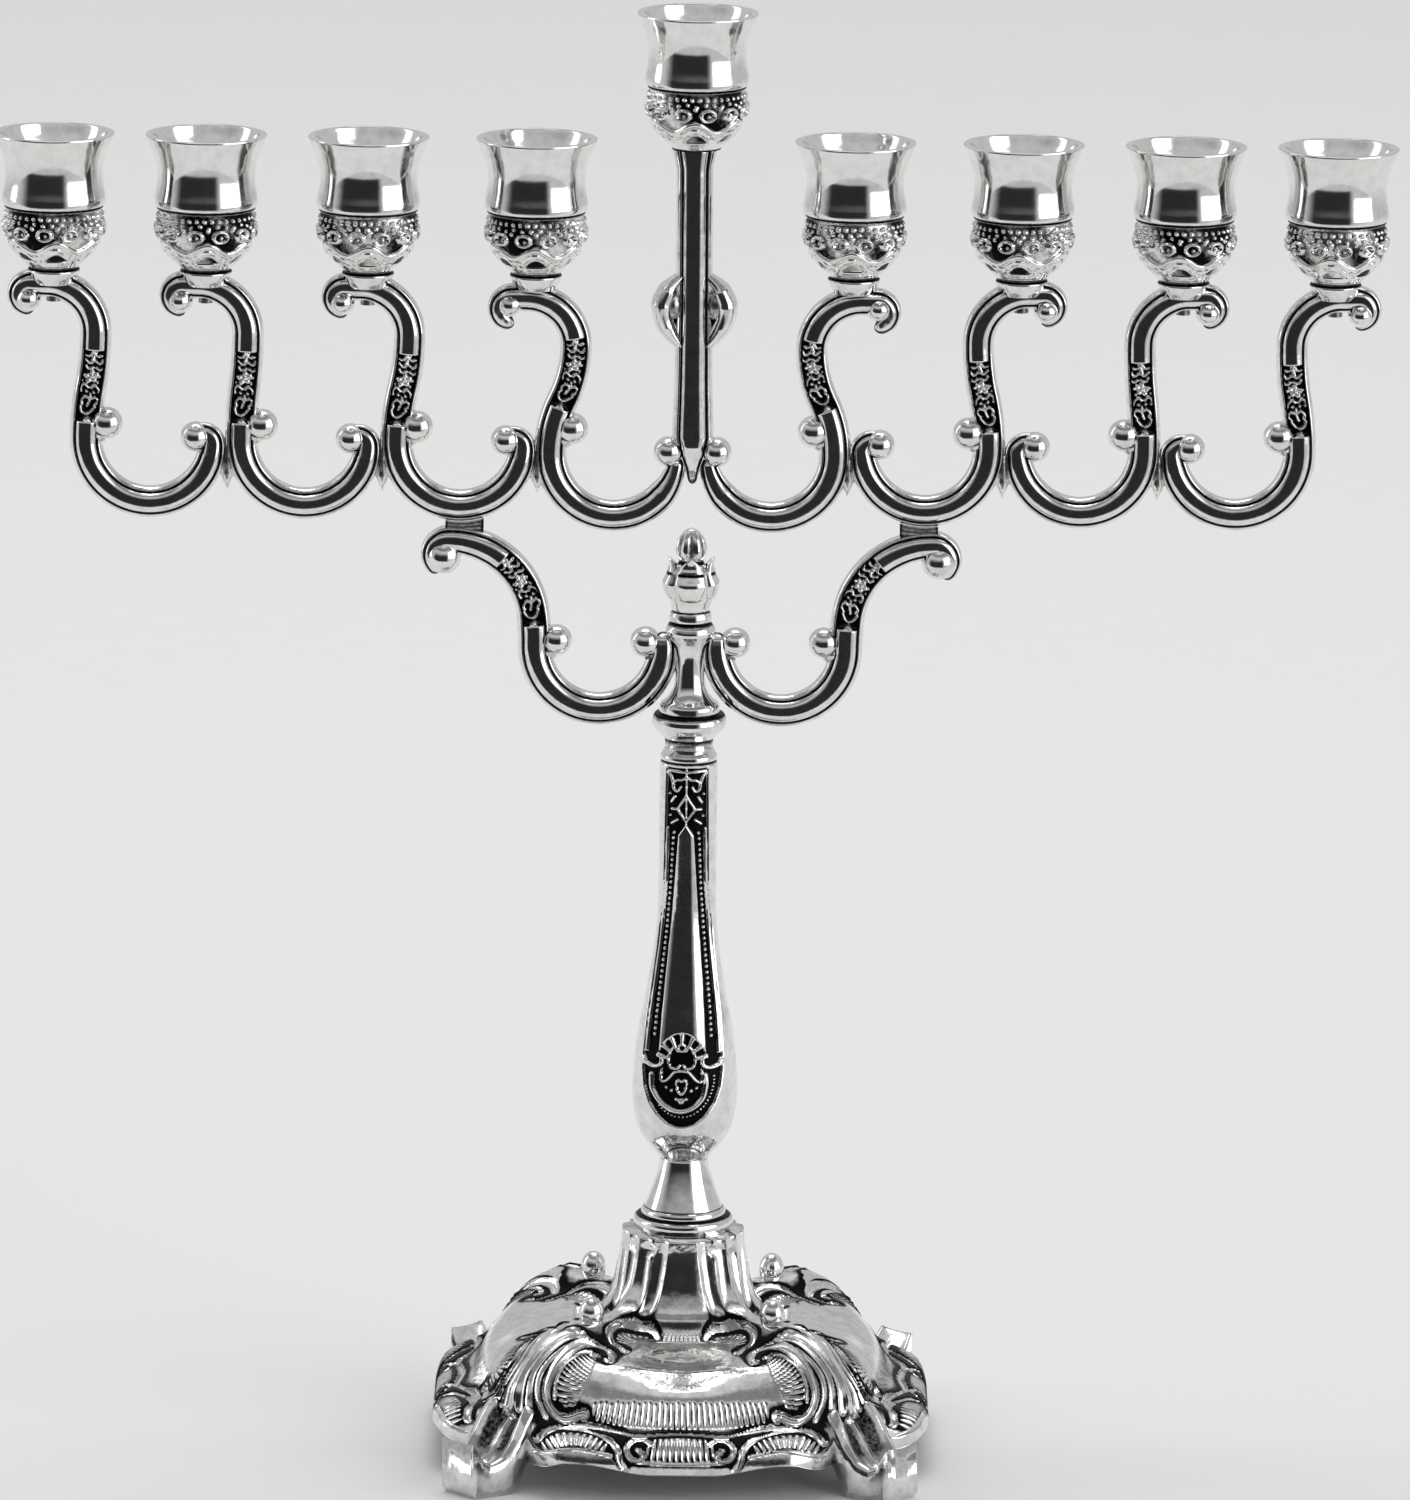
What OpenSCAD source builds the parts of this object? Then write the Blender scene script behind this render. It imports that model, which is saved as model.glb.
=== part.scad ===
// Nine-branch candle menorah, cast in sections and held together by one tie rod.
// Millimetres. +Z is up, -Y is the front, the origin is on the floor under the stem.

/* [Candle cups] */
// radius of the straight socket that grips a candle
socket_r = 5.25; // [4.5:0.05:6]
// depth of the socket
socket_depth = 12; // [8:0.5:14]
// outside radius of the cup's flared rim
cup_rim_r = 12.4; // [11.5:0.1:13.5]
// height of a cup from its seat to its rim
cup_h = 29.3; // [28:0.1:32]
// distance of each side cup from the stem axis, from the inside out
cup_x = [32.4, 66.6, 99.6, 130.6];
// height of the seat under the eight side cups
cup_seat_z = 244.5; // [240:0.5:250]
// height of the seat under the raised servant cup
servant_seat_z = 270.7; // [265:0.5:280]

/* [Branches] */
// spacing of the loops along the gallery
loop_pitch = 31.7; // [31:0.1:32.5]
// radius of a loop, to the middle of its bar
loop_r = 13.4; // [13:0.1:14]
// height of the loops' centres
loop_z = 210; // [208:0.5:212]
// width of the branch bar, seen from the front
bar_w = 5.8; // [5:0.1:6.2]
// thickness of the bar's edge flanges, front to back
flange_t = 3; // [2:0.1:4]
// radius of the raised round along the middle of each face
round_r = 1.75; // [1.4:0.05:2]

/* [Lower bracket] */
// distance of each bracket loop from the stem axis
bracket_loop_x = 19.3; // [19:0.1:20]
// radius of a bracket loop, to the middle of its bar
bracket_loop_r = 13.4; // [13:0.1:13.8]
// height of the bracket loops' centres
bracket_loop_z = 169.5; // [168:0.5:171]

/* [Stem] */
// height of the joint between base and stem foot
base_top_z = 45.5; // [44:0.5:47]
// largest radius of the baluster
baluster_r = 10.87; // [10:0.1:12]
// radius of the tie rod
rod_r = 2; // [1.5:0.1:2.2]

/* [Base] */
// distance of a skirt's widest point from the stem axis
skirt_reach = 51.3; // [50:0.1:53]
// radius of the skirt's bulge, seen from above
bulge_r = 130; // [120:5:160]
// wall thickness of the hollow base
base_wall = 2.4; // [1.8:0.1:3]
// distance of a toe's end face from the stem axis, along the diagonal
toe_reach = 64.5; // [63:0.5:66]

/* [Hidden] */
$fn = 96;
stud_r = 1.5;
stud_gap = 0.05;
rod_gap = 0.06;
snug = 0.02;
stud_grip = 4.5;
stud_drop = 5.5;
bead_r = 3.1;
ball_r = 3.5;
rim_wall = 1.4;
hook_reach = 8.6;
hook_r = 10;
hook_z = 231;
curl_r = 3;
boss_r = 4.4;
stem_w = 7.3;
stem_top_z = 147.5;
foot_top_z = 60.5;
bowl_top_z = 154.6;
hub_top_z = 173.6;
weld_w = 0.8;
weld_t = 0.06;
tongue_w = 3.4;
tongue_z = 204;
stem_low_z = 212;
bulge_y = skirt_reach - bulge_r;
plate_t = 2.5;
washer_t = 1;
nut_t = 3.2;
nut_across_r = 7 / sqrt(3);
nut_top_z = base_top_z - plate_t - washer_t;
arm_top_z = 192.3;
arm_lean = 6;
arm_lean_r = 60;
arm_turn_r = 16.8;
arm_curl_r = curl_r + 0.3;
arm_ball_r = 3.9;
arm_ball = [-50.9, 186.6];
arm_outer_bead = [-27.3, 169.5];
arm_inner_bead = [-8.9, 169];
saddle_x = -52.5;
saddle_size = [13, 5.2, 3.2];
inner_bead = [-8.9, 3.7];
outer_bead = [9.3, 1.1];
seat_ball = [-4.7, -5.8];
boss_h = 3;
scroll_at = [4.4, 239];
scroll_r = 2.8;
scroll_t = 1.3;
socket_floor = 12;
petal_at = [2.1, 182];
petal_r = 3.95;
neck_r = 12.6;
knob_at = [26.3, 30.4];
knob_r = 2.9;
edge_low = 6.4;
far = 20;
metal = [0.75, 0.75, 0.76];
steel = [0.55, 0.56, 0.58];

// one point of a cubic curve, and the whole curve in n steps without its first point
function curve_at(a, b, c, d, t) = (1 - t) ^ 3 * a + 3 * t * (1 - t) ^ 2 * b
  + 3 * t ^ 2 * (1 - t) * c + t ^ 3 * d;
function curve(a, b, c, d, n) = [for (i = [1:n]) curve_at(a, b, c, d, i / n)];

// sideways place and height of the seat of cup i, counted 1 to 9 from the left
function seat_x(i) = i < 5 ? -cup_x[4 - i] : i > 5 ? cup_x[i - 6] : 0;
function seat_z(i) = i == 5 ? servant_seat_z : cup_seat_z;

// the branch bar's cross-section: a flat bar with a raised round on both faces
module bar_section(w = bar_w, grow = 0) {
  t = flange_t / 2 + grow;
  half_w = w / 2 + grow;
  arch = [for (a = [0:30:180]) [round_r * cos(a), t + round_r * sin(a) * 0.85]];
  half = concat([[half_w, 0], [half_w, t - 0.3], [half_w - 0.3, t]], arch,
    [[0.3 - half_w, t], [-half_w, t - 0.3]]);
  polygon(concat(half, -half));
}

// a bar bent through a chain of arcs: at is [x, z, heading], each move is [radius, turn];
// a thin weld bead closes each joint between two arcs
module bent_bar(at, moves, i = 0) {
  if (i < len(moves)) {
    r = moves[i][0];
    turn = moves[i][1];
    side = turn > 0 ? 1 : -1;
    cx = at[0] - side * r * sin(at[2]);
    cz = at[1] + side * r * cos(at[2]);
    first = turn > 0 ? at[2] - 90 : at[2] + 90 + turn;
    translate([cx, 0, cz]) rotate([90, 0, 0]) rotate([0, 0, first])
      rotate_extrude(angle = abs(turn)) translate([r, 0]) bar_section();
    translate([at[0], 0, at[1]]) rotate([90, 0, 0]) rotate([0, 0, at[2] - 90])
      rotate([90, 0, 0]) linear_extrude(weld_w, center = true) bar_section(grow = weld_t);
    last = at[2] + turn - side * 90;
    bent_bar([cx + r * cos(last), cz + r * sin(last), at[2] + turn], moves, i + 1);
  }
}

module bead(x, z, r) {
  translate([x, 0, z]) sphere(r = r);
}

module stud_hole(z) {
  translate([0, 0, z - stud_drop - 0.5]) cylinder(r = stud_r + stud_gap, h = stud_drop + 1);
}

// a left-hand branch; k counts outward from the stem
module branch(k) {
  loop_x = -(k - 0.5) * loop_pitch;
  side_x = loop_x - loop_r;
  seat = -cup_x[k - 1];
  lean = seat + hook_reach - side_x;
  rise = hook_z - loop_z;
  lean_turn = 2 * atan(lean / rise);
  lean_r = rise / (2 * sin(lean_turn));
  inner_cut = -(k - 1) * loop_pitch;
  difference() {
    union() {
      bent_bar([side_x, loop_z, -90], [[loop_r, 176]]);
      bent_bar([side_x, loop_z, 90],
        [[lean_r, -lean_turn], [lean_r, lean_turn], [hook_r, 90], [curl_r, 90]]);
      bead(loop_x + loop_r - 0.4, loop_z - 0.6, bar_w / 2 + 0.15);
      bead(loop_x + outer_bead[0], loop_z + outer_bead[1], bead_r);
      bead(loop_x + inner_bead[0], loop_z + inner_bead[1], bead_r);
      bead(seat + seat_ball[0], cup_seat_z + seat_ball[1], ball_r);
      translate([seat, 0, cup_seat_z - boss_h]) cylinder(r = boss_r, h = boss_h);
    }
    translate([seat, 0, 0]) stud_hole(cup_seat_z);
    translate([inner_cut, -far / 2, loop_z - 25]) cube([far, far, 50]);
    if (k < 4)
      translate([inner_cut - loop_pitch - far, -far / 2, loop_z - 25]) cube([far, far, 35]);
    if (k == 1) translate([-tongue_w / 2, -far / 2, tongue_z]) cube([far / 2, far, far]);
  }
}

// the upright that carries the raised servant cup, its tongue held between two loop ends
module shamash_stem() {
  color(metal) difference() {
    union() {
      translate([0, 0, stem_low_z]) linear_extrude(servant_seat_z - stem_low_z - 1)
        bar_section(stem_w);
      translate([-tongue_w / 2, -flange_t / 2, tongue_z])
        cube([tongue_w, flange_t, stem_low_z - tongue_z + 1]);
      translate([0, 0, servant_seat_z - boss_h]) cylinder(r = boss_r, h = boss_h);
      for (side = [0, 1]) mirror([side, 0, 0]) {
        translate([scroll_at[0], 0, scroll_at[1]]) rotate([90, 0, 0]) rotate([0, 0, -80])
          rotate_extrude(angle = 160) translate([scroll_r, 0]) circle(r = scroll_t);
        for (z = [235.4, 242.6]) bead(5, z, 1.7);
      }
    }
    stud_hole(servant_seat_z);
  }
}

// the bracket arm on the left: loop, S and the curl under its saddle
module lower_arm() {
  difference() {
    union() {
      bent_bar([bracket_loop_r - bracket_loop_x, bracket_loop_z - 1, -90],
        [[bracket_loop_r, -180], [arm_lean_r, arm_lean], [arm_turn_r, 90 - arm_lean],
        [arm_curl_r, 80]]);
      bead(arm_inner_bead[0], arm_inner_bead[1], 3.2);
      bead(arm_outer_bead[0], arm_outer_bead[1], 3);
      translate([arm_ball[0], 0, arm_ball[1]]) rotate([90, 0, 0]) sphere(r = arm_ball_r);
    }
    hub_solid(snug);
    translate([-60, -10, arm_top_z]) cube([60, 20, 10]);
  }
}

// the soldered pad between a bracket arm and the loop above it
module saddle() {
  loop_x = -1.5 * loop_pitch;
  difference() {
    translate([saddle_x, -saddle_size[1] / 2, arm_top_z]) cube(saddle_size);
    translate([loop_x, 0, loop_z]) rotate([90, 0, 0])
      cylinder(r = loop_r + bar_w / 2 + snug, h = 20, center = true);
  }
}

// turned spool that both bracket arms are soldered to
module hub_solid(grow = 0) {
  low = bowl_top_z - grow;
  high = hub_top_z + grow;
  rotate_extrude() polygon(concat([[0, low], [6.2 + grow, low], [6.2 + grow, 156.4]],
    curve([6.2 + grow, 156.4], [3.2 + grow, 158.5], [3 + grow, 161], [3 + grow, 165.5], 6),
    curve([3 + grow, 165.5], [3 + grow, 168.5], [3.6 + grow, 170.6], [5.2 + grow, 171.4], 6),
    [[5.2 + grow, 172.6], [4.3 + grow, high], [0, high]]));
}

module hub() {
  color(metal) difference() {
    hub_solid();
    translate([0, 0, bowl_top_z - 1]) cylinder(r = rod_r + rod_gap, h = 21);
  }
}

// bud with four petals round it, screwed on the tie rod
module finial() {
  color(metal) difference() {
    union() {
      rotate_extrude() polygon(concat([[0, hub_top_z], [3.8, hub_top_z], [4.3, 174.2], [4.3, 175.6],
        [4, 176.2], [4.1, 177.3]],
        curve([4.1, 177.3], [5.2, 181], [3.4, 184], [2.6, 186.4], 5),
        curve([2.6, 186.4], [3.3, 188.4], [2.6, 191], [0, 193.4], 6)));
      for (turn = [0:90:270]) rotate([0, 0, turn]) {
        translate([petal_at[0], 0, petal_at[1]]) sphere(r = petal_r);
        translate([3.6, 0, 184]) rotate([0, 35, 0]) cylinder(r1 = 2.4, r2 = 0.4, h = 4);
      }
    }
    translate([0, 0, hub_top_z - 1]) cylinder(r = rod_r + snug, h = 10);
  }
}

module stem_bowl() {
  color(metal) difference() {
    rotate_extrude() polygon([[0, stem_top_z], [4.9, stem_top_z], [5, 149.4], [6.9, 151.4],
      [7.7, 152.4], [7.7, 153.8], [7.2, bowl_top_z], [0, bowl_top_z]]);
    translate([0, 0, stem_top_z - 1]) cylinder(r = rod_r + rod_gap, h = 10);
  }
}

module baluster() {
  color(metal) difference() {
    rotate_extrude() polygon(concat([[0, foot_top_z], [4.9, foot_top_z], [5.6, 61.6]],
      curve([5.6, 61.6], [8.4, 64], [10.2, 68.5], [baluster_r, 76.5], 8),
      curve([baluster_r, 76.5], [10.9, 86], [7.4, 98], [6.2, 111], 8),
      [[5.95, 118], [5.95, 144.4], [5.6, 145], [5.9, 145.6], [5.6, 146.3],
      [4.9, stem_top_z], [0, stem_top_z]]));
    translate([0, 0, foot_top_z - 1]) cylinder(r = rod_r + rod_gap, h = 90);
  }
}

module stem_foot() {
  color(metal) difference() {
    rotate_extrude() polygon(concat([[0, base_top_z], [9.6, base_top_z]],
      curve([9.6, base_top_z], [10.5, 46], [10.5, 48.2], [9.6, 48.6], 6),
      [[8.6, 48.7], [8.6, 50]],
      curve([8.1, 50.4], [6.8, 53.5], [5.6, 56], [4.9, foot_top_z], 6), [[0, foot_top_z]]));
    translate([0, 0, base_top_z - 1]) cylinder(r = rod_r + rod_gap, h = 20);
  }
}

module tie_rod() {
  color(steel) translate([0, 0, nut_top_z - nut_t - 2])
    cylinder(r = rod_r, h = hub_top_z + 8 - nut_top_z + nut_t + 2);
}

module base_washer() {
  color(steel) translate([0, 0, nut_top_z]) difference() {
    cylinder(r = 5.5, h = washer_t);
    translate([0, 0, -1]) cylinder(r = rod_r + rod_gap, h = washer_t + 2);
  }
}

module base_nut() {
  color(steel) translate([0, 0, nut_top_z - nut_t]) difference() {
    cylinder(r = nut_across_r, h = nut_t, $fn = 6);
    translate([0, 0, -1]) cylinder(r = rod_r + snug, h = nut_t + 2);
  }
}

// the outline of one side of the base, from the middle outward; inset makes the hollow
function side_outline(inset) = concat([[0, 28.6 - inset], [16, 28.6 - inset]],
  curve([16, 28.6 - inset], [22, 27.4 - inset], [31, 27 - inset], [36 - inset, 25 - inset], 6),
  curve([36 - inset, 25 - inset], [39.6 - inset, 23.6 - inset], [41.2 - inset, 17.5 - inset],
    [43.9 - inset, 14.4 - inset], 6),
  [[45.4 - inset, 13.9 - inset], [48.2 - inset, 13.2 - inset]],
  curve([48.2 - inset, 13.2 - inset], [50.6 - inset, 12.6 - inset],
    [skirt_reach - inset, 10 - inset], [skirt_reach - inset, 8], 5),
  [[skirt_reach - 0.6 - inset, inset > 0 ? -1 : 4.5], [0, inset > 0 ? -1 : 4.5]]);

// four bulging sides, mitred at the corners
module cushion(inset) {
  side = [for (p = side_outline(inset)) [p[0] == 0 ? 0 : p[0] - bulge_y, p[1]]];
  intersection_for (turn = [0:90:270])
    rotate([0, 0, turn]) translate([0, bulge_y, 0]) rotate_extrude() polygon(side);
}

module neck(inset) {
  low = 24;
  high = inset > 0 ? base_top_z - plate_t : base_top_z;
  rotate_extrude() polygon(concat([[0, high], [neck_r - inset, high]],
    curve([neck_r - inset, high], [neck_r + 0.2 - inset, 39], [14.4 - inset, 30.5], [21 - inset, 27.2], 9),
    [[21 - inset, low], [0, low]]));
}

// outline along a corner: the ridge that runs from the neck down to a foot
function ridge(drop) = curve([22, 30 - drop], [34, 36 - drop], [43, 31.5 - drop],
  [52.5 - drop / 2, 18 - drop], 10);

module diagonal_slab(outline, w) {
  rotate([90, 0, 0]) linear_extrude(w, center = true) polygon(outline);
}

module corner() {
  mound = ridge(1);
  rope = ridge(0);
  diagonal_slab(concat([[18, 26], [18, 28.6]], mound, [[50, 12], [36, 18]]), 8.4);
  for (y = [-2.7, 0, 2.7]) translate([0, y, 0])
    diagonal_slab(concat([[20, 26], [20, 28.6]], rope, [[50, 14], [36, 20]]), 1.5);
  for (y = [-1.3, 1.3]) translate([0, y, 0]) {
    diagonal_slab([[11, 30], [11, base_top_z - 0.8], [13.3, base_top_z - 0.8], [14.1, 38.5],
      [15.4, 33.5], [19, 30], [19, 28]], 1.2);
    translate([13, 0, base_top_z - 1.6]) sphere(r = 1.2);
  }
  translate([knob_at[0], 0, knob_at[1]]) sphere(r = knob_r);
  translate([toe_reach, 0, 0]) diagonal_slab([[-16, 18.4], [-12, 18.6], [-7.4, 14.6],
    [-3.6, 11.6], [0, 10.8], [0, 1.4], [-1.2, 0], [-7.2, 0], [-9.6, 2.4], [-16, 6]], 5.2);
  intersection() {
    diagonal_slab([[45, 19], [52.5, 18.2], [57.6, 12.5], [58.2, 7], [54, 4.5], [45, 5]], 14);
    translate([51.2, 0, 0]) cylinder(r = 6.6, h = 20);
  }
}

// the scalloped lower edge between two feet, as the shape that is cut away
function edge_z(x) = abs(x) < 9 ? edge_low : edge_low + 3.2 * sin(min(180, (abs(x) - 9) * 8));
module edge_cut() {
  rotate([90, 0, 0]) linear_extrude(140, center = true)
    polygon(concat([[-33, -1]], [for (x = [-33:1.5:33]) [x, edge_z(x)]], [[33, -1]]));
}

module base_casting() {
  color(metal) difference() {
    union() {
      difference() {
        union() {
          cushion(0);
          neck(0);
        }
        for (turn = [0, 90]) rotate([0, 0, turn]) edge_cut();
      }
      for (turn = [45:90:315]) rotate([0, 0, turn]) corner();
    }
    cushion(base_wall);
    neck(base_wall);
    translate([0, 0, base_top_z - 10]) cylinder(r = rod_r + rod_gap, h = 20);
  }
}

// flared cup over a beaded bowl, with the candle socket in its floor
module cup(i) {
  rim = cup_h;
  floor_z = rim - socket_floor;
  color(metal) translate([seat_x(i), 0, seat_z(i)]) difference() {
    rotate_extrude() polygon(concat([[0, 0], [5.4, 0], [5.4, 1.4], [5.8, 2.4]],
      curve([5.8, 2.4], [8.2, 3.6], [10.2, 7], [10.3, 11.4], 7),
      [[10.1, 13.4], [10.1, 14], [10.5, 14.6], [10.5, 16.2]],
      curve([10.5, 16.2], [9.6, 19.5], [9.4, 22], [11, 25.8], 6),
      curve([11, 25.8], [11.4, 26.8], [11.9, 27.9], [cup_rim_r, rim - 0.3], 3),
      [[cup_rim_r - 0.3, rim], [cup_rim_r - rim_wall, rim]],
      curve([cup_rim_r - rim_wall, rim], [9.4, 26], [8.3, 23], [8.5, floor_z + 1], 7),
      [[7.9, floor_z], [0, floor_z]]));
    translate([0, 0, floor_z - socket_depth]) cylinder(r = socket_r, h = socket_depth + 1);
    translate([0, 0, -1]) cylinder(r = stud_r + snug, h = stud_grip + 1);
  }
}

module cup_stud(i) {
  color(steel) translate([seat_x(i), 0, seat_z(i) - stud_drop])
    cylinder(r = stud_r, h = stud_drop + stud_grip);
}

module gallery_branch(i) {
  color(metal) mirror([i > 4 ? 1 : 0, 0, 0]) branch(i < 5 ? 5 - i : i - 4);
}

base_casting();
base_washer();
base_nut();
tie_rod();
stem_foot();
baluster();
stem_bowl();
hub();
finial();
color(metal) lower_arm();  // lower_arm_left
color(metal) mirror([1, 0, 0]) lower_arm();  // lower_arm_right
color(metal) saddle();  // saddle_left
color(metal) mirror([1, 0, 0]) saddle();  // saddle_right
shamash_stem();
for (i = [1:8]) gallery_branch(i);
for (i = [1:9]) cup(i);
for (i = [1:9]) cup_stud(i);
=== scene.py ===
import bpy
import numpy as np
from mathutils import Matrix, Vector


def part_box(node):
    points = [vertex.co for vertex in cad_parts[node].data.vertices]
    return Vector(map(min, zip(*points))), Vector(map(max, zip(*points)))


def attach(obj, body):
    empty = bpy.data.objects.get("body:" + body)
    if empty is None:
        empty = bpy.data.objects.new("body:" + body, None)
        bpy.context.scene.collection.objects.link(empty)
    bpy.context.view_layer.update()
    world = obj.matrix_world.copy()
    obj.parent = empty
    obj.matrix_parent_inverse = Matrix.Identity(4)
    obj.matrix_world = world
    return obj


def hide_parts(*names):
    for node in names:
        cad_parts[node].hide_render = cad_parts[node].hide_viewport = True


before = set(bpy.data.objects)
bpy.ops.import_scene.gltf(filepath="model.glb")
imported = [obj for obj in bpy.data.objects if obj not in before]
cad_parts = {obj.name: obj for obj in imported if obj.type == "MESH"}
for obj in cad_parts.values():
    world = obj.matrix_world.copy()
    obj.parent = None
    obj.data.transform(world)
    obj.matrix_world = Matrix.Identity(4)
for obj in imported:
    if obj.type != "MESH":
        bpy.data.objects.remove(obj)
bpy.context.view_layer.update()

# ------------------------------
# Base casting. One hollow shell of silver-plated zinc alloy, cast in a two-part mould, polished
# by hand on the high spots and left black in the recesses. Four bulging sides carry the same
# scroll-and-flute relief, rope ridges run down the corners, and each corner ends in a leaf foot.
MM = 0.001


def colour(code):
    """sRGB hex to the linear colour that a shader socket takes."""
    parts = [int(code[i:i + 2], 16) / 255 for i in (1, 3, 5)]
    return [c / 12.92 if c <= 0.04045 else ((c + 0.055) / 1.055) ** 2.4 for c in parts] + [1.0]


def add_node(tree, kind, settings=(), **inputs):
    """Adds a shader node; an input is a value, or another node's output socket to link from."""
    node = tree.nodes.new(kind)
    for name, value in dict(settings).items():
        setattr(node, name, value)
    for name, value in inputs.items():
        key = int(name[1:]) if name[1:].isdigit() else name.replace("_", " ")
        socket = node.inputs[key]
        if isinstance(value, bpy.types.NodeSocket):
            tree.links.new(value, socket)
        else:
            socket.default_value = value
    return node


def blank_material(name):
    """A new material with an empty shader tree, and that tree."""
    material = bpy.data.materials.new(name)
    material.use_nodes = True
    material.node_tree.nodes.clear()
    return material, material.node_tree


def noise(tree, place, size, detail, **more):
    """Noise over the piece's own frame, with features about size millimetres across."""
    return add_node(tree, "ShaderNodeTexNoise", Vector=place.outputs["Object"],
                    Scale=1 / (size * MM), Detail=detail, **more).outputs["Fac"]


def span(tree, value, low, high, first=0.0, last=1.0, smooth=False):
    """Takes low to high of a value to first to last, in a straight line or a smooth step."""
    return add_node(tree, "ShaderNodeMapRange", {"interpolation_type": "SMOOTHSTEP"} if smooth
                    else (), Value=value, From_Min=low, From_Max=high, To_Min=first,
                    To_Max=last).outputs[0]


def mix(tree, factor, first, last):
    """Mixes two colours."""
    return add_node(tree, "ShaderNodeMix", {"data_type": "RGBA"}, Factor=factor, i6=first,
                    i7=last).outputs["Result"]


def metal_surface(tree, tint, roughness, height, strength, depth):
    """The metal shader itself, with a bump of so many millimetres, and the tree's output."""
    bump = add_node(tree, "ShaderNodeBump", Strength=strength, Distance=depth * MM, Height=height)
    shader = add_node(tree, "ShaderNodeBsdfPrincipled", Base_Color=tint, Metallic=1.0,
                      Roughness=roughness, Normal=bump.outputs["Normal"])
    add_node(tree, "ShaderNodeOutputMaterial", Surface=shader.outputs[0])


def plated_silver(name, gloss=0.11, grain=0.5, film=0.3):
    """Electroplated silver over cast zinc, oxidised black and buffed: mirror-bright on the high
    spots under a thin grey film, faintly wavy, and black and rough in the recesses: oxide left
    there, and painted shade there too."""
    material, tree = blank_material(name)
    place = add_node(tree, "ShaderNodeTexCoord")
    # the recess attribute: oxide in the hollows, and painted shade in them too
    recess = add_node(tree, "ShaderNodeAttribute", {"attribute_name": "oxide_and_painted_shade"})
    speckle = noise(tree, place, 0.9, 4.0, Roughness=0.6)
    ragged = add_node(tree, "ShaderNodeMath", {"operation": "MULTIPLY_ADD"}, i0=speckle, i1=0.55,
                      i2=recess.outputs["Fac"]).outputs[0]
    black = span(tree, ragged, 0.45, 0.95, smooth=True)
    veil = span(tree, noise(tree, place, 2.6, 5.0, Roughness=0.65), 0.42, 0.68, 0.0, film)
    plate = mix(tree, veil, colour("#EEEDEC"), colour("#8E8D8C"))
    haze = span(tree, noise(tree, place, 9, 3.0), 0.3, 0.7, gloss * 0.8, gloss * 1.35)
    dull = add_node(tree, "ShaderNodeMix", {"data_type": "FLOAT"}, Factor=black, A=haze, B=0.5)
    metal_surface(tree, mix(tree, black, plate, colour("#121214")), dull.outputs[0],
                  noise(tree, place, 2.2, 2.0), grain, 0.09)
    return material


def ramp(low, high, value):
    """Smooth step from 0 at low to 1 at high."""
    t = np.clip((value - low) / (high - low), 0, 1)
    return t * t * (3 - 2 * t)


def curve_through(points, steps=10):
    """A smooth line through a few points: Catmull-Rom, steps to each stretch."""
    p = np.array(points, float)
    if len(p) < 3:
        return np.linspace(p[0], p[-1], steps + 1)
    ends = np.vstack([2 * p[0] - p[1], p, 2 * p[-1] - p[-2]])
    t = np.linspace(0, 1, steps, endpoint=False)[:, None]
    line = []
    for a, b, c, d in zip(ends, ends[1:], ends[2:], ends[3:]):
        line.append(0.5 * (2 * b + (c - a) * t + (2 * a - 5 * b + 4 * c - d) * t ** 2
                           + (3 * b - a - 3 * c + d) * t ** 3))
    return np.vstack(line + [p[-1:]])


def along(u, v, points, reach, steps=10):
    """For each (u, v) of a relief grid, how far it is from a smooth line through the points, and
    how far along the line its nearest place is. Beyond reach the distance is left large."""
    line = curve_through(points, steps)
    far = np.full(u.shape, 99.0)
    run = np.zeros(u.shape)
    start = 0.0
    for (au, av), (bu, bv) in zip(line, line[1:]):
        length = np.hypot(bu - au, bv - av)
        near = ((u > min(au, bu) - reach) & (u < max(au, bu) + reach)
                & (v > min(av, bv) - reach) & (v < max(av, bv) + reach))
        if length > 0 and near.any():
            du, dv = u[near] - au, v[near] - av
            t = np.clip((du * (bu - au) + dv * (bv - av)) / length ** 2, 0, 1)
            d = np.hypot(du - t * (bu - au), dv - t * (bv - av))
            closer = d < far[near]
            far[near] = np.where(closer, d, far[near])
            run[near] = np.where(closer, start + t * length, run[near])
        start += length
    return far, run, start


def dome(d):
    """A half-round: 1 where d is 0, falling to 0 where d is 1 or more."""
    return np.sqrt(np.clip(1 - d ** 2, 0, 1))


def cords(h, u, v, lines, steps=10):
    """Raises half-round cords of relief, each given as (half width, height, point, point, ...);
    where cords overlap, the higher stays."""
    for half_width, height, *points in lines:
        d, _, _ = along(u, v, points, half_width, steps)
        h = np.maximum(h, height * dome(d / half_width))
    return h


def beads(h, u, v, spots):
    """Raises round beads of relief, each given as (u, v, radius, height)."""
    for at_u, at_v, radius, height in spots:
        h = np.maximum(h, height * dome(np.hypot(u - at_u, v - at_v) / radius))
    return h


def ribs(phase, pitch):
    """Half-round ribs side by side: 1 on a crest, 0 in the sharp valley between two."""
    return dome(2 * (phase / pitch % 1.0) - 1)


def fluted(h, where, crest, sunk, phase, pitch, least=0.02):
    """Puts flutes in place of the relief: ribs of height crest standing on a ground sunk below
    the surface, faded by where."""
    return np.where(where > least, where * (crest * ribs(phase, pitch) - sunk), h)


def spun(grid, turn):
    """A grid of points turned about z."""
    c, s = np.cos(turn), np.sin(turn)
    x, y, z = np.moveaxis(grid, -1, 0)
    return np.stack([c * x - s * y, s * x + c * y, z], axis=-1)


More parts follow.
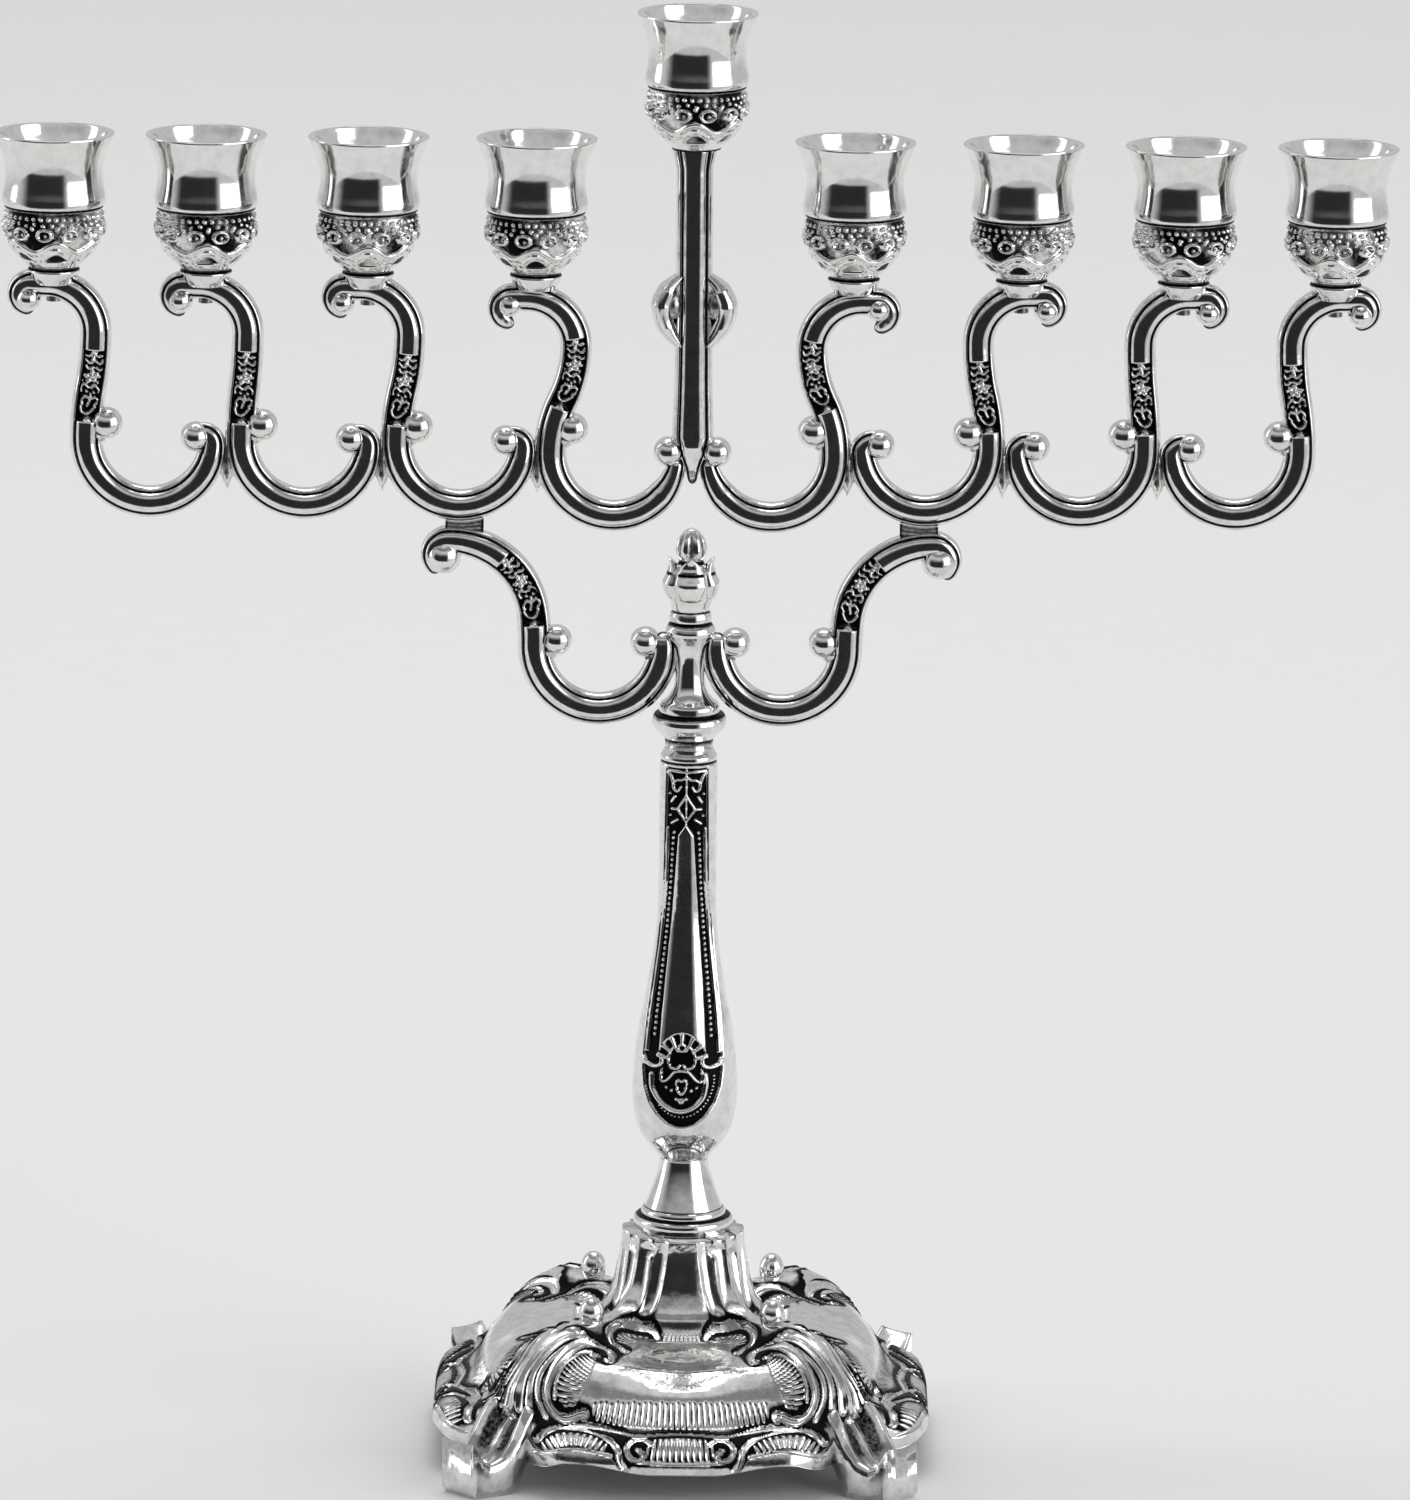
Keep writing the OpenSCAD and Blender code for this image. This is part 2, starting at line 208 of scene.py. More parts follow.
def soften(h, rows, columns):
    """Gaussian blur of a relief grid whose columns close on themselves."""
    pad = int(3 * rows) + 1
    tall = np.pad(h, ((pad, pad), (0, 0)), mode="edge")
    row_waves = np.fft.fftfreq(tall.shape[0])[:, None]
    column_waves = np.fft.rfftfreq(tall.shape[1])[None, :]
    pass_low = np.exp(-2 * np.pi ** 2 * ((row_waves * rows) ** 2 + (column_waves * columns) ** 2))
    return np.fft.irfft2(np.fft.rfft2(tall) * pass_low, s=tall.shape)[pad:-pad]


def raised(surface, h):
    """Moves each point of a closed grid outward along the grid's own normal by h."""
    across = np.roll(surface, -1, 1) - np.roll(surface, 1, 1)
    down = np.gradient(surface, axis=0)
    normal = np.cross(across, down)
    normal /= np.maximum(np.linalg.norm(normal, axis=2, keepdims=True), 1e-9)
    return surface + normal * h[..., None]


def tube_faces(rows, columns):
    """Quads of a grid whose columns close, and the two rows that end it."""
    i = np.arange(rows - 1)[:, None] * columns
    j = np.arange(columns)[None, :]
    k = (j + 1) % columns
    quads = np.stack([i + j, i + columns + j, i + columns + k, i + k], axis=-1).reshape(-1, 4)
    last = (rows - 1) * columns
    return quads, [list(range(columns)), list(range(last + columns - 1, last - 1, -1))]


def shell_part(grid, oxide_and_painted_shade):
    """A grid closed round and capped at both ends, as (points, tarnish, quads, caps)."""
    quads, caps = tube_faces(*grid.shape[:2])
    return grid.reshape(-1, 3), oxide_and_painted_shade.ravel(), quads, caps


def ball_part(at, radii, turn=0.0, oxide_and_painted_shade=0.0):
    """A smooth egg: radii along x, y and z, turned about z."""
    rings = 20
    tall = np.linspace(0.02, np.pi - 0.02, rings)[:, None]
    about = np.arange(2 * rings)[None, :] * np.pi / rings
    egg = np.array(radii) * np.stack([np.sin(tall) * np.cos(about), np.sin(tall) * np.sin(about),
                                      np.cos(tall) + 0 * about], axis=-1)
    return shell_part(np.array(at) + spun(egg, turn), np.full(egg.shape[:2], oxide_and_painted_shade))


def build(name, parts, material, body, node, drawn_low):
    """Joins closed parts, given in millimetres, into one piece that stands for a CAD node. The
    parts were drawn for a node whose foot is at drawn_low; they go where its foot really is."""
    points, shade, loops, starts = [], [], [], []
    count = corner = 0
    for part_points, part_shade, quads, caps in parts:
        points.append(part_points)
        shade.append(part_shade)
        loops.append((quads + count).ravel())
        starts.append(corner + 4 * np.arange(len(quads)))
        corner += 4 * len(quads)
        for cap in caps:
            loops.append(np.array(cap) + count)
            starts.append(np.array([corner]))
            corner += len(cap)
        count += len(part_points)
    loops, starts = np.concatenate(loops), np.concatenate(starts)
    points = np.concatenate(points) * MM
    points[:, 2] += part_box(node)[0].z - drawn_low * MM
    mesh = bpy.data.meshes.new(name)
    mesh.vertices.add(count)
    mesh.vertices.foreach_set("co", points.ravel())
    mesh.loops.add(len(loops))
    mesh.loops.foreach_set("vertex_index", loops)
    mesh.polygons.add(len(starts))
    mesh.polygons.foreach_set("loop_start", starts)
    mesh.polygons.foreach_set("use_smooth", np.ones(len(starts), bool))
    mesh.update(calc_edges=True)
    layer = mesh.attributes.new("oxide_and_painted_shade", "FLOAT", "POINT")
    layer.data.foreach_set("value", np.concatenate(shade).astype(np.float32))
    mesh.materials.append(material)
    piece = bpy.data.objects.new(name, mesh)
    bpy.context.scene.collection.objects.link(piece)
    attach(piece, body)
    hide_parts(node)


# Where a side's middle line and its corner line run, from the neck's lip (run 0) down to the
# skirt's lower edge: [run, middle y, middle z, corner x = y, corner z].
side_lines = np.array([
    [0, 12.6, 45.5, 8.9, 45.5], [3.5, 12.9, 42, 9.2, 42], [7, 13.5, 38.5, 9.7, 38.5],
    [11.7, 14.5, 33.8, 10.8, 34.4], [15, 16, 30.4, 12.6, 31.6], [18, 18.6, 28.6, 15.6, 30.2],
    [22, 22.4, 27.6, 19.6, 30.2], [30, 30, 26.6, 26, 30.6], [36, 36, 25, 30.4, 27.4],
    [41, 39.4, 21.6, 33.4, 23.4], [45, 41.6, 18.2, 35.2, 19.6], [49.5, 43.9, 14.3, 35.2, 15.6],
    [53, 47.2, 13.6, 34.4, 12.6], [55.5, 49.6, 12.3, 34, 10.8], [60, 51.3, 8.6, 33.6, 8],
    [63, 51, 6.4, 33.5, 6.4]])


def side_lines_at(run):
    """The four values of side_lines at any run, on a smooth curve."""
    knots = side_lines[:, 0]
    i = np.clip(np.searchsorted(knots, run) - 1, 0, len(knots) - 2)
    gap = knots[i + 1] - knots[i]
    t = (run - knots[i]) / gap
    values = []
    for line in side_lines[:, 1:].T:
        slope = np.gradient(line, knots)
        values.append((2 * t ** 3 - 3 * t ** 2 + 1) * line[i]
                      + (3 * t ** 2 - 2 * t ** 3) * line[i + 1]
                      + (t ** 3 - 2 * t ** 2 + t) * gap * slope[i]
                      + (t ** 3 - t ** 2) * gap * slope[i + 1])
    return values


def side_surface(t, run):
    """A point of the front side: t is -1 and 1 on the corner lines and 0 in the middle. The neck
    is round in plan, and the dome and the skirt bulge between the corners."""
    middle_y, middle_z, corner, corner_z = side_lines_at(run)
    edge = np.abs(t)
    round_part = 1 - ramp(13, 24, run)
    swell = 1 + (corner * np.sqrt(2) / middle_y - 1) * ramp(0.6, 1, edge)
    x = round_part * middle_y * np.sin(t * np.pi / 4) * swell + (1 - round_part) * t * corner
    bulge = middle_y + (corner - middle_y) * edge ** (2.2 + 5.5 * ramp(46, 54, run))
    y = round_part * middle_y * np.cos(t * np.pi / 4) * swell + (1 - round_part) * bulge
    z = middle_z + (corner_z - middle_z) * ramp(0.62, 0.92, edge)
    return np.stack([x, -y, z], axis=-1), t * corner


def side_relief(x, run):
    """Relief of one side, by distance x from its middle line and run down it, both in mm."""
    u = np.abs(x)
    h = np.zeros(x.shape)
    corner = side_lines_at(run)[2]
    off_corner = (corner - u) / np.sqrt(2)
    # neck: twin ribs at each corner, ending in small curls under the lip
    h -= 0.35 * ramp(1.0, 1.3, run) * ramp(1.9, 1.6, run)
    rib_fade = 1 - ramp(13, 17, run)
    for at in (1.1, 3.3):
        h = np.maximum(h, rib_fade * 0.75 * np.clip(1 - ((off_corner - at) / 1.15) ** 2, 0, 1))
    h = beads(h, off_corner, run, [(1.6, 2.2, 1.5, 1.0)])
    # corner ridge: ropes that fan out from the knob down to the foot
    rope = ramp(24, 27, run) * ramp(54, 51, run)
    h = np.maximum(h, rope * 0.95 * dome(off_corner / 0.9))
    h = cords(h, u, run, [
        (1.15, 0.95, (21.5, 28.6), (26.9, 33.2), (31.2, 39), (33.0, 43.2), (33.6, 48.5)),
        (0.85, 0.8, (19.8, 28.4), (24.9, 33.1), (29.5, 39), (31.0, 43), (31.3, 48.8)),
        (0.7, 0.75, (18.8, 28.4), (23.2, 33.2), (28, 39.2), (29.4, 42.8), (29.2, 46),
         (27.6, 48.6))])
    # large scroll with a ladder of short ribs in its hollow
    spine = [(18, 32.5), (20.6, 35.6), (22.6, 39.4), (23.2, 43), (22.6, 46.2)]
    d, at, whole = along(u, run, spine, 4.5)
    half = 0.6 + 2.9 * np.sin(np.pi * np.clip(at / whole, 0, 1)) ** 0.6
    h = fluted(h, ramp(0, 0.5, half - d), 1.05, 0.7, at, 1.0, 0)
    h = cords(h, u, run, [
        (0.95, 1.25, (14.6, 33.6), (14.2, 30.6), (15.7, 28.2), (17.9, 28.6), (20.3, 30.6),
         (22.8, 33.8), (25.4, 37.6), (26.9, 40.7), (27.7, 43.4), (27.4, 45.7), (26.2, 47.3),
         (24.2, 48), (22.3, 47.6), (20.9, 46.9)),
        (0.45, 0.7, (16.8, 32.4), (18.6, 31.6), (21, 33.6), (24, 37.4), (25.6, 41), (25.9, 44.6))])
    h = beads(h, u, run, [(14.8, 33.2, 1.3, 1.6), (17.7, 31.8, 1.15, 1.4), (19.9, 46.9, 1.25, 1.3)])
    # small upper scroll and its shell of ribs
    d, at, whole = along(u, run, [(12.6, 24.8), (11.2, 22), (8.8, 20.2), (6.8, 20.6)], 3.2)
    half = 2.1 * np.sin(np.pi * np.clip(0.12 + 0.8 * at / whole, 0, 1)) ** 0.5
    h = fluted(h, ramp(0, 0.5, half - d), 0.95, 0.65, at, 0.95, 0)
    h = cords(h, u, run, [(0.75, 1.0, (11.4, 28.9), (13.6, 25.6), (14.9, 22.8), (14.2, 20.2),
                           (12.3, 18), (9.4, 16.6), (6.7, 16.9), (5.3, 18.6), (5.5, 20.4))])
    h = beads(h, u, run, [(11.5, 28.6, 1.1, 1.2), (5.7, 20.2, 1.1, 1.3)])
    # flutes between the two small scrolls, then along the dome's foot
    fan = ramp(17.2, 17.8, run) * ramp(22.2, 21.4, run) * ramp(4.6, 4.2, u)
    h = fluted(h, fan, 0.85, 0.55, x + 0.45, 0.9)
    top = 43.7 + 0.3 * (u / 18) ** 2 + 0.25 * np.sin(x * 2.1)
    foot = 49.7 - 1.5 * (u / 18) ** 2
    band = ramp(0, 0.7, run - top) * ramp(0, 0.5, foot - run) * ramp(18.4, 17.6, u)
    h = fluted(h, band, 0.85, 0.55, x / (1 + 0.014 * (run - 46)), 1.15)
    # brace-shaped ribbon, then the three shells of the skirt
    h = cords(h, u, run, [(0.85, 1.0, (22.5, 49.2), (20.5, 48.8), (16.5, 49.2), (12.8, 50.7),
                           (9.1, 52.5), (5.5, 52), (-0.5, 51.2))])
    d, at, _ = along(u, run, [(28.4, 56), (24.2, 54), (20, 53.9), (15, 56.4)], 2.6)
    h = fluted(h, ramp(0, 0.45, 2.0 - d), 0.95, 0.7, at, 1.2, 0)
    h = cords(h, u, run, [
        (0.75, 1.1, (29.5, 54.4), (27.8, 52.2), (24.2, 49.9), (20.2, 50.1), (16.4, 52.3),
         (13.9, 54.5), (12.7, 56.6)),
        (0.5, 0.45, (29.6, 57.6), (24.1, 56.7), (20.1, 56.7), (14.2, 57.8))])
    middle = ramp(0, 0.5, run - 53.3) * ramp(0, 0.4, 59.2 - run) * ramp(7.2, 6.6, u)
    h = fluted(h, middle, 0.95, 0.7, x / (1 + 0.02 * (run - 56)), 1.2)
    return cords(h, u, run, [
        (0.65, 0.95, (5.9, 54.9), (7.4, 53.7), (9.6, 54), (10.9, 56), (10.2, 58.3), (8.4, 58.9),
         (7.5, 57.7), (8.5, 56.5)),
        (0.55, 0.6, (8.6, 58.9), (7.3, 59.4), (-0.5, 59.7)),
        (0.75, 0.6, (12.6, 57), (12.2, 59), (11.2, 61.2))])


def skirt_edge(x):
    """How far down the run the skirt's scalloped lower edge lies."""
    u = np.abs(x)
    return 63 - 3.0 * ramp(6, 20, u) + 3.0 * ramp(23, 30.6, u)


def base_parts():
    across = 320
    t = np.linspace(-1, 1, across, endpoint=False)[None, :]
    neck_rows = np.linspace(0, 15.5, 30)
    rows = np.concatenate([neck_rows, np.arange(15.8, 63.01, 0.33)])
    run = rows[:, None] + 0 * t
    t = t + 0 * run
    _, x = side_surface(t, run)
    low = np.clip((run - 57) / 6, 0, 1)
    run = np.where(low > 0, 57 + low * (skirt_edge(x) - 57), run)
    side, x = side_surface(t, run)
    outer = np.concatenate([spun(side, quarter * np.pi / 2) for quarter in range(4)], axis=1)
    h, run, u = (np.tile(values, (1, 4)) for values in (side_relief(x, run), run, np.abs(x)))
    # black in the hollows, where the relief lies below its own blurred surroundings: partly the
    # casting's oxide, partly painted shade in the recesses
    step = 2 * 43 / across
    hollow = soften(h, 1.1 / 0.33, 1.1 / step) - h
    wide = soften(h, 2.5 / 0.33, 2.5 / step) - h
    oxide_and_painted_shade = np.maximum(ramp(0.0, 0.26, hollow), 0.85 * ramp(0.06, 0.38, wide))
    oxide_and_painted_shade *= ramp(0.0, 0.06, np.abs(h) + 0.6 * np.clip(wide, 0, 1))
    oxide_and_painted_shade *= 0.65 + 0.35 * ramp(12, 18, run)
    # each side swells like a cushion, under a crest that carries the two small scrolls
    cushion = 1.9 * np.exp(-(u / 11) ** 2) * ramp(22, 33, run) * ramp(44, 36, run)
    crest = 1.8 * ramp(15.5, 17.6, run) * ramp(24.5, 17.6, run) * ramp(14, 9, u)
    skin = raised(outer, h + cushion + crest)
    # hollow underside: the same sides drawn in by the wall, closed under the neck
    wall = 2.4
    inner = []
    for row in (62.9, 58, 52, 46, 40, 33, 26, 20, 14, 8, 3.5):
        ring = outer[np.argmin(np.abs(rows - row))].copy()
        flat = np.hypot(ring[:, 0], ring[:, 1])[:, None]
        ring[:, :2] *= (flat - wall) / flat
        ring[:, 2] -= wall if 14 < row < 50 else 0
        inner.append(ring)
    grid = np.concatenate([skin, skin[-1:], np.array(inner)], axis=0)
    # painted shade: the whole inner wall of the hollow base is darkened
    inside = np.full((len(inner) + 1, outer.shape[1]), 0.35)
    return [shell_part(grid, np.concatenate([oxide_and_painted_shade, inside], axis=0))]


def foot_part(quarter):
    """Leaf cup and upturned toe under one corner, as a block between its top and its sole."""
    reach = np.linspace(45, 64.4, 120)
    half = np.interp(reach, [45, 46, 49, 52, 54.5, 57, 60, 62.5, 64.4],
                     [5.6, 6.0, 6.6, 7.0, 6.9, 6.4, 5.6, 4.9, 4.5])
    rim = np.interp(reach, [45, 46, 48, 49.5, 51.5, 54, 57, 60, 62, 64.4],
                    [14.8, 15.5, 17.2, 17.4, 15.2, 11.2, 7.9, 6.8, 8.4, 12.0])
    deep = np.interp(reach, [45, 48, 51, 54, 57, 60, 64.4], [2.6, 3.8, 3.6, 2.8, 2.2, 1.6, 0.3])
    sole = np.interp(reach, [45, 49, 51.5, 53.5, 55, 63.3, 64.4], [10, 8, 5, 1.6, 0, 0, 1.3])
    bell = np.hanning(13)[1:-1] / np.hanning(13).sum()
    rim, half, deep = (np.convolve(np.pad(line, 5, mode="edge"), bell, mode="valid")[:, None]
                       for line in (rim, half, deep))
    reach, sole = reach[:, None], sole[:, None]
    side = np.linspace(-1, 1, 61)[None, :]
    s = np.abs(side)
    peak = np.interp(reach, [45, 49.5, 56, 64.4], [0.62, 0.65, 0.8, 0.86])
    rise = np.where(s < peak, (s / peak) ** 2.4, 1 - 0.35 * ((s - peak) / (1 - peak)) ** 2)
    vein = np.exp(-(s / 0.11) ** 2) * ramp(61, 57, reach)
    top = (rim - deep) + deep * rise + 0.5 * vein
    across = half * side
    bottom = np.minimum(sole + 0 * top, top - 0.8)
    reach = reach + 0 * across
    ring = np.concatenate([np.stack([reach, across, top], -1),
                           np.stack([reach, 0.96 * across, bottom], -1)[:, ::-1]], axis=1)
    dark = (ramp(0.35, 1.6, deep * (1 - rise)) * (s < peak) * 0.6 * (1 - vein)
            * ramp(58, 54, reach))
    return shell_part(spun(ring, np.radians(45 + 90 * quarter)),
                      np.concatenate([dark, 0 * dark], axis=1))


silver_base = plated_silver("oxidised silver plate, buffed casting", grain=0.8, film=0.4)
parts = base_parts()
for quarter in range(4):
    parts.append(foot_part(quarter))
    a = np.radians(45 + 90 * quarter)
    parts.append(ball_part((26.3 * np.cos(a), 26.3 * np.sin(a), 31.8), (2.7, 2.6, 3.4), a))
build("base_shell", parts, silver_base, "stand", "base_casting", 0.0)

# ------------------------------
# Washer, nut and tie rod. Plain turned steel, zinc-passivated and lightly brushed; the nut pulls
# the rod down from inside the hollow base and clamps the whole stem between base and finial.


def brushed_steel(name, metal):
    """Machined steel: fine turning lines that stretch the light sideways over a grey metal."""
    material, tree = blank_material(name)
    place = add_node(tree, "ShaderNodeTexCoord")
    stretch = add_node(tree, "ShaderNodeMapping", Vector=place.outputs["Object"],
                       Scale=(40.0, 40.0, 1 / (0.12 * MM)))
    lines = add_node(tree, "ShaderNodeTexNoise", Vector=stretch.outputs["Vector"], Scale=1.0,
                     Detail=3.0).outputs["Fac"]
    tint = add_node(tree, "ShaderNodeValToRGB", Fac=noise(tree, place, 2.5, 4.0))
    tint.color_ramp.elements[0].color = colour("#6E6F72")
    tint.color_ramp.elements[1].color = colour(metal)
    metal_surface(tree, tint.outputs["Color"], span(tree, lines, 0.3, 0.7, 0.22, 0.42), lines, 0.4,
                  0.02)
    return material


fastener_steel = brushed_steel("brushed steel fasteners", "#B9BABD")
for node_name in ["base_washer", "base_nut", "tie_rod"] + [f"cup_stud_{i}" for i in range(1, 10)]:
    bpy.data.objects[node_name].data.materials.clear()
    bpy.data.objects[node_name].data.materials.append(fastener_steel)

# ------------------------------
# Stem foot. A small turned cone on a ring moulding, polished all over: cast, trimmed on a lathe
# and slipped over the tie rod, where it seats on the neck of the base.


def turned(start, *strokes, columns=96):
    """A lathe profile, from its foot up, as a closed grid. Each stroke runs on from the last one's
    end: a point means a straight line, a list of points a smooth curve, and strokes meet at crisp
    edges. Returns points by [row, column] and the profile."""
    profile = [start]
    for stroke in strokes:
        profile.extend(curve_through([profile[-1], *stroke], 9)[1:] if isinstance(stroke, list)
                       else [stroke])
    profile = np.array(profile)
    a = np.arange(columns) * 2 * np.pi / columns - np.pi / 2
    r, z = profile[:, :1], profile[:, 1:]
    return np.stack([r * np.cos(a), r * np.sin(a), z + 0 * a], axis=-1), profile


def bands(grid, line, rows, clear=0.0):
    """The black left round a turned piece, in bands of (height, half width, strength); a bore
    narrower than clear stays bright."""
    dark = sum(strength * np.exp(-((line[:, 1] - z) / wide) ** 2) for z, wide, strength in rows)
    return (dark * (line[:, 0] > clear))[:, None] + 0 * grid[..., 0]


def ring_part(grid, oxide_and_painted_shade):
    """A grid closed both ways, like a ring with a bore through it."""
    rows, columns = grid.shape[:2]
    i, j = np.meshgrid(np.arange(rows), np.arange(columns), indexing="ij")
    a, b = i * columns + j, (i + 1) % rows * columns + j
    k = (j + 1) % columns
    quads = np.stack([a, i * columns + k, (i + 1) % rows * columns + k, b], axis=-1).reshape(-1, 4)
    return grid.reshape(-1, 3), oxide_and_painted_shade.ravel(), quads, []


rod_hole = 2.06
silver_turned = plated_silver("silver plate, lathe-polished", gloss=0.07, grain=0.22)


def bored_piece(name, body, node, low, top, black, clear, columns, *strokes):
    """A turned piece from low to top, bored through for the rod: strokes give its outside."""
    grid, line = turned((rod_hole, top), (rod_hole, low), *strokes, columns=columns)
    shade = bands(grid, line, black, clear)
    build(name, [ring_part(grid, shade)], silver_turned, body, node, low)


bored_piece("stem_foot_turned", "stand", "stem_foot", 45.5, 60.5,
            [(48.6, 0.22, 1), (50.28, 0.14, 0.8)], 4, 160, (9.4, 45.5), (9.4, 45.6),
            [(10.0, 45.9), (10.3, 46.6), (10.4, 47.3), (10.2, 48.1), (9.5, 48.55)],
            (8.7, 48.65), [(8.75, 49.2), (8.55, 49.9), (8.05, 50.2)], (8.05, 50.35),
            [(7.3, 52.3), (6.6, 54.2), (5.9, 56.3), (5.3, 58.4), (4.92, 60.2)], (4.9, 60.5))

# ------------------------------
# Baluster. A slim vase of the same alloy, cast in two halves along its sides: front and back each
# carry a recessed black panel with a smooth tongue, pearl rows, a fan and a small flower.


def panel_relief(u, z):
    """Relief of the baluster's panel, by sideways distance u from its middle and height z."""
    a = np.abs(u)
    edge = np.interp(z, [69.0, 70.0, 71.8, 74.3, 77.5, 81, 84, 92, 106, 120, 144.2],
                     [0.0, 3.0, 5.2, 6.9, 8.0, 8.4, 8.35, 7.7, 6.0, 4.8, 4.4])
    inside = ramp(0.0, 0.35, edge - a) * ramp(0, 0.3, 144.2 - z) * ramp(0, 0.3, z - 69.2)
    # heights are over the panel's ground, which lies sunk below the surface
    sunk = 0.75
    h = sunk * (1 - inside)
    # smooth tongue down the middle, its bright edging line, and pearls in the black bands
    half = np.interp(z, [84, 90, 100, 112, 124, 130, 132.2], [5.3, 4.9, 4.2, 3.1, 2.3, 1.9, 0.3])
    tongue = ramp(0, 0.35, half - a) * ramp(88.6, 89.2, z + 0.16 * a ** 2)
    tongue *= (inside > 0.5) * (0.95 - 0.25 * (a / np.maximum(half, 0.3)) ** 2)
    line = dome((edge - a - 0.55) / 0.32) * (z > 84.5) * (z < 131.5) * (inside > 0.5)
    h = np.maximum(h + tongue, 0.7 * line)
    pearl = dome(np.hypot((a - 0.5 * (half + edge - 0.8)) / 0.38,
                          (z / 1.17 % 1 - 0.5) * 1.17 / 0.42))
    h = np.maximum(h, 0.62 * pearl * (z > 88) * (z < 131))
    # volutes and the diamond at the head, then the flower, then the brace under the fan
    h = cords(h, a, z, [
        (0.34, 0.7, (1.3, 140.1), (1.9, 139.2), (2.8, 139.6), (2.9, 140.8), (2.1, 141.5),
         (1.0, 141.6), (0.0, 142.2)),
        (0.34, 0.7, (2.9, 140.4), (3.3, 141.8), (4.0, 143.2)),
        (0.34, 0.7, (0, 138.3), (1.0, 136.8), (1.8, 135.4), (1.0, 134.2), (0, 132.9)),
        (0.34, 0.7, (2.3, 135.4), (3.2, 135.4)),
        (0.34, 0.7, (0.3, 143.2), (2.0, 143.3), (3.9, 143.4)),
        (0.34, 0.7, (2.6, 138.0), (3.3, 136.9)),
        (0.34, 0.7, (2.0, 133.2), (3.2, 132.4)),
        (0.3, 0.75, (0.4, 82.4), (1.1, 81.7), (2.4, 82.0), (2.9, 83.4), (2.5, 85.2), (1.5, 86.2),
         (0.9, 85.3)),
        (0.3, 0.75, (0.2, 81.2), (1.6, 80.9), (3.1, 79.3), (4.2, 78.9), (4.5, 80.2), (4.2, 81.4)),
        (0.3, 0.75, (0.1, 76.3), (0.8, 77.2), (1.1, 78.7), (0.7, 79.4), (0.1, 79.0)),
        (0.45, 0.85, (8.1, 83.1), (7.7, 82.2), (6.0, 81.8), (4.7, 82.3), (4.4, 83.6), (5.0, 84.4)),
    ], 6)
    # crescent below the flower
    h = cords(h, u, z, [(0.62, 0.85, (-6.6, 80), (-6.3, 77), (-4.1, 74.2), (-1, 72.7), (2.2, 73.3),
                         (4.5, 75.5), (5.2, 78.4), (5.0, 80.3))], 6)
    # fan of rays over the ring
    d = np.hypot(u, z - 83.3)
    turn = np.arctan2(u, z - 83.3)
    ray = np.sqrt(np.clip(np.cos(turn * 13.5), 0, 1))
    h = np.maximum(h, 0.8 * ray * ramp(3.0, 3.3, d) * ramp(5.8, 5.5, d) * (np.abs(turn) < 1.6))
    h = np.maximum(h, 0.7 * dome((np.hypot(u, z - 86.0) - 0.75) / 0.28))
    h = beads(h, a, z, [(at, up, r, 0.75) for at, up, r in (
        (2.1, 77.1, 0.36), (3.2, 77.7, 0.36), (0, 74.9, 0.8), (1.0, 75.3, 0.45), (0, 135.5, 0.35),
        (0, 140, 0.4), (3.7, 138.6, 0.3), (3.6, 134.0, 0.3))])
    # dots round the panel's foot
    swing = np.arctan2(u, 79.5 - z)
    rim = np.hypot(u / 8.0, (z - 79.5) / 9.3)
    dots = dome(np.hypot((rim - 0.86) * 8.5 / 0.3, (swing * 9.5 % 1 - 0.5) * 0.95 / 0.33))
    h = np.maximum(h, 0.5 * dots * (z < 80.5))
    return np.where(inside > 0.02, h - sunk, 0), inside


stem_rows = np.concatenate([np.arange(*rows) for rows in (
    (60.5, 69, 0.45), (69, 92, 0.17), (92, 132, 0.24), (132, 144.4, 0.17))])
outline = curve_through([(4.9, 60.5), (5.6, 61.5), (7.2, 63.3), (9.1, 66), (10.1, 68.6), (10.7, 72),
                         (10.87, 76.5), (10.5, 82), (9.6, 89), (8.4, 95), (7.4, 101), (6.55, 107),
                         (6.1, 112), (5.95, 118), (5.95, 131), (5.95, 144.4)], 12)
columns = 224
a = np.arange(columns) * 2 * np.pi / columns - np.pi / 2
turned_by = np.radians(-4)
zz = stem_rows[:, None] + 0 * a
rr = np.interp(stem_rows, outline[:, 1], outline[:, 0])[:, None] + 0 * a
h, inside = np.zeros(zz.shape), np.zeros(zz.shape)
for facing in (-np.pi / 2, np.pi / 2):
    off = (a - facing - turned_by + np.pi) % (2 * np.pi) - np.pi
    relief, panel = panel_relief(rr * np.sin(off), zz)
    front = np.cos(off) > 0
    h = np.where(front, relief, h)
    inside = np.where(front, panel, inside)
rr = rr + h
body = np.stack([rr * np.cos(a), rr * np.sin(a), zz], axis=-1)
head, line = turned((5.95, 144.4), (5.55, 144.9), [(5.85, 145.3), (5.8, 146.0), (5.5, 146.4)],
                    (4.9, 147.5), (rod_hole, 147.5), (rod_hole, 60.5), columns=columns)
shade = np.concatenate([inside * ramp(-0.25, -0.55, h),
                        bands(head, line, [(144.9, 0.25, 0.9)], clear=4)[1:]])
build("baluster_cast", [ring_part(np.concatenate([body, head[1:]]), shade)],
      plated_silver("silver plate over panelled casting", gloss=0.08, grain=0.25), "stand",
      "baluster", 60.5)

# ------------------------------
# Stem bowl. A small turned collar of plated alloy, slipped on the rod between the baluster and
# the hub; the joint above it is left black.
bored_piece("stem_bowl_turned", "stand", "stem_bowl", 147.5, 154.6,
            [(154.6, 0.3, 0.9), (149.4, 0.2, 0.7)], 3, 160, (4.9, 147.5), (5.0, 149.4),
            [(5.9, 150.3), (6.8, 151.2), (7.4, 152.0), (7.7, 152.8), (7.65, 153.7)], (7.1, 154.6))

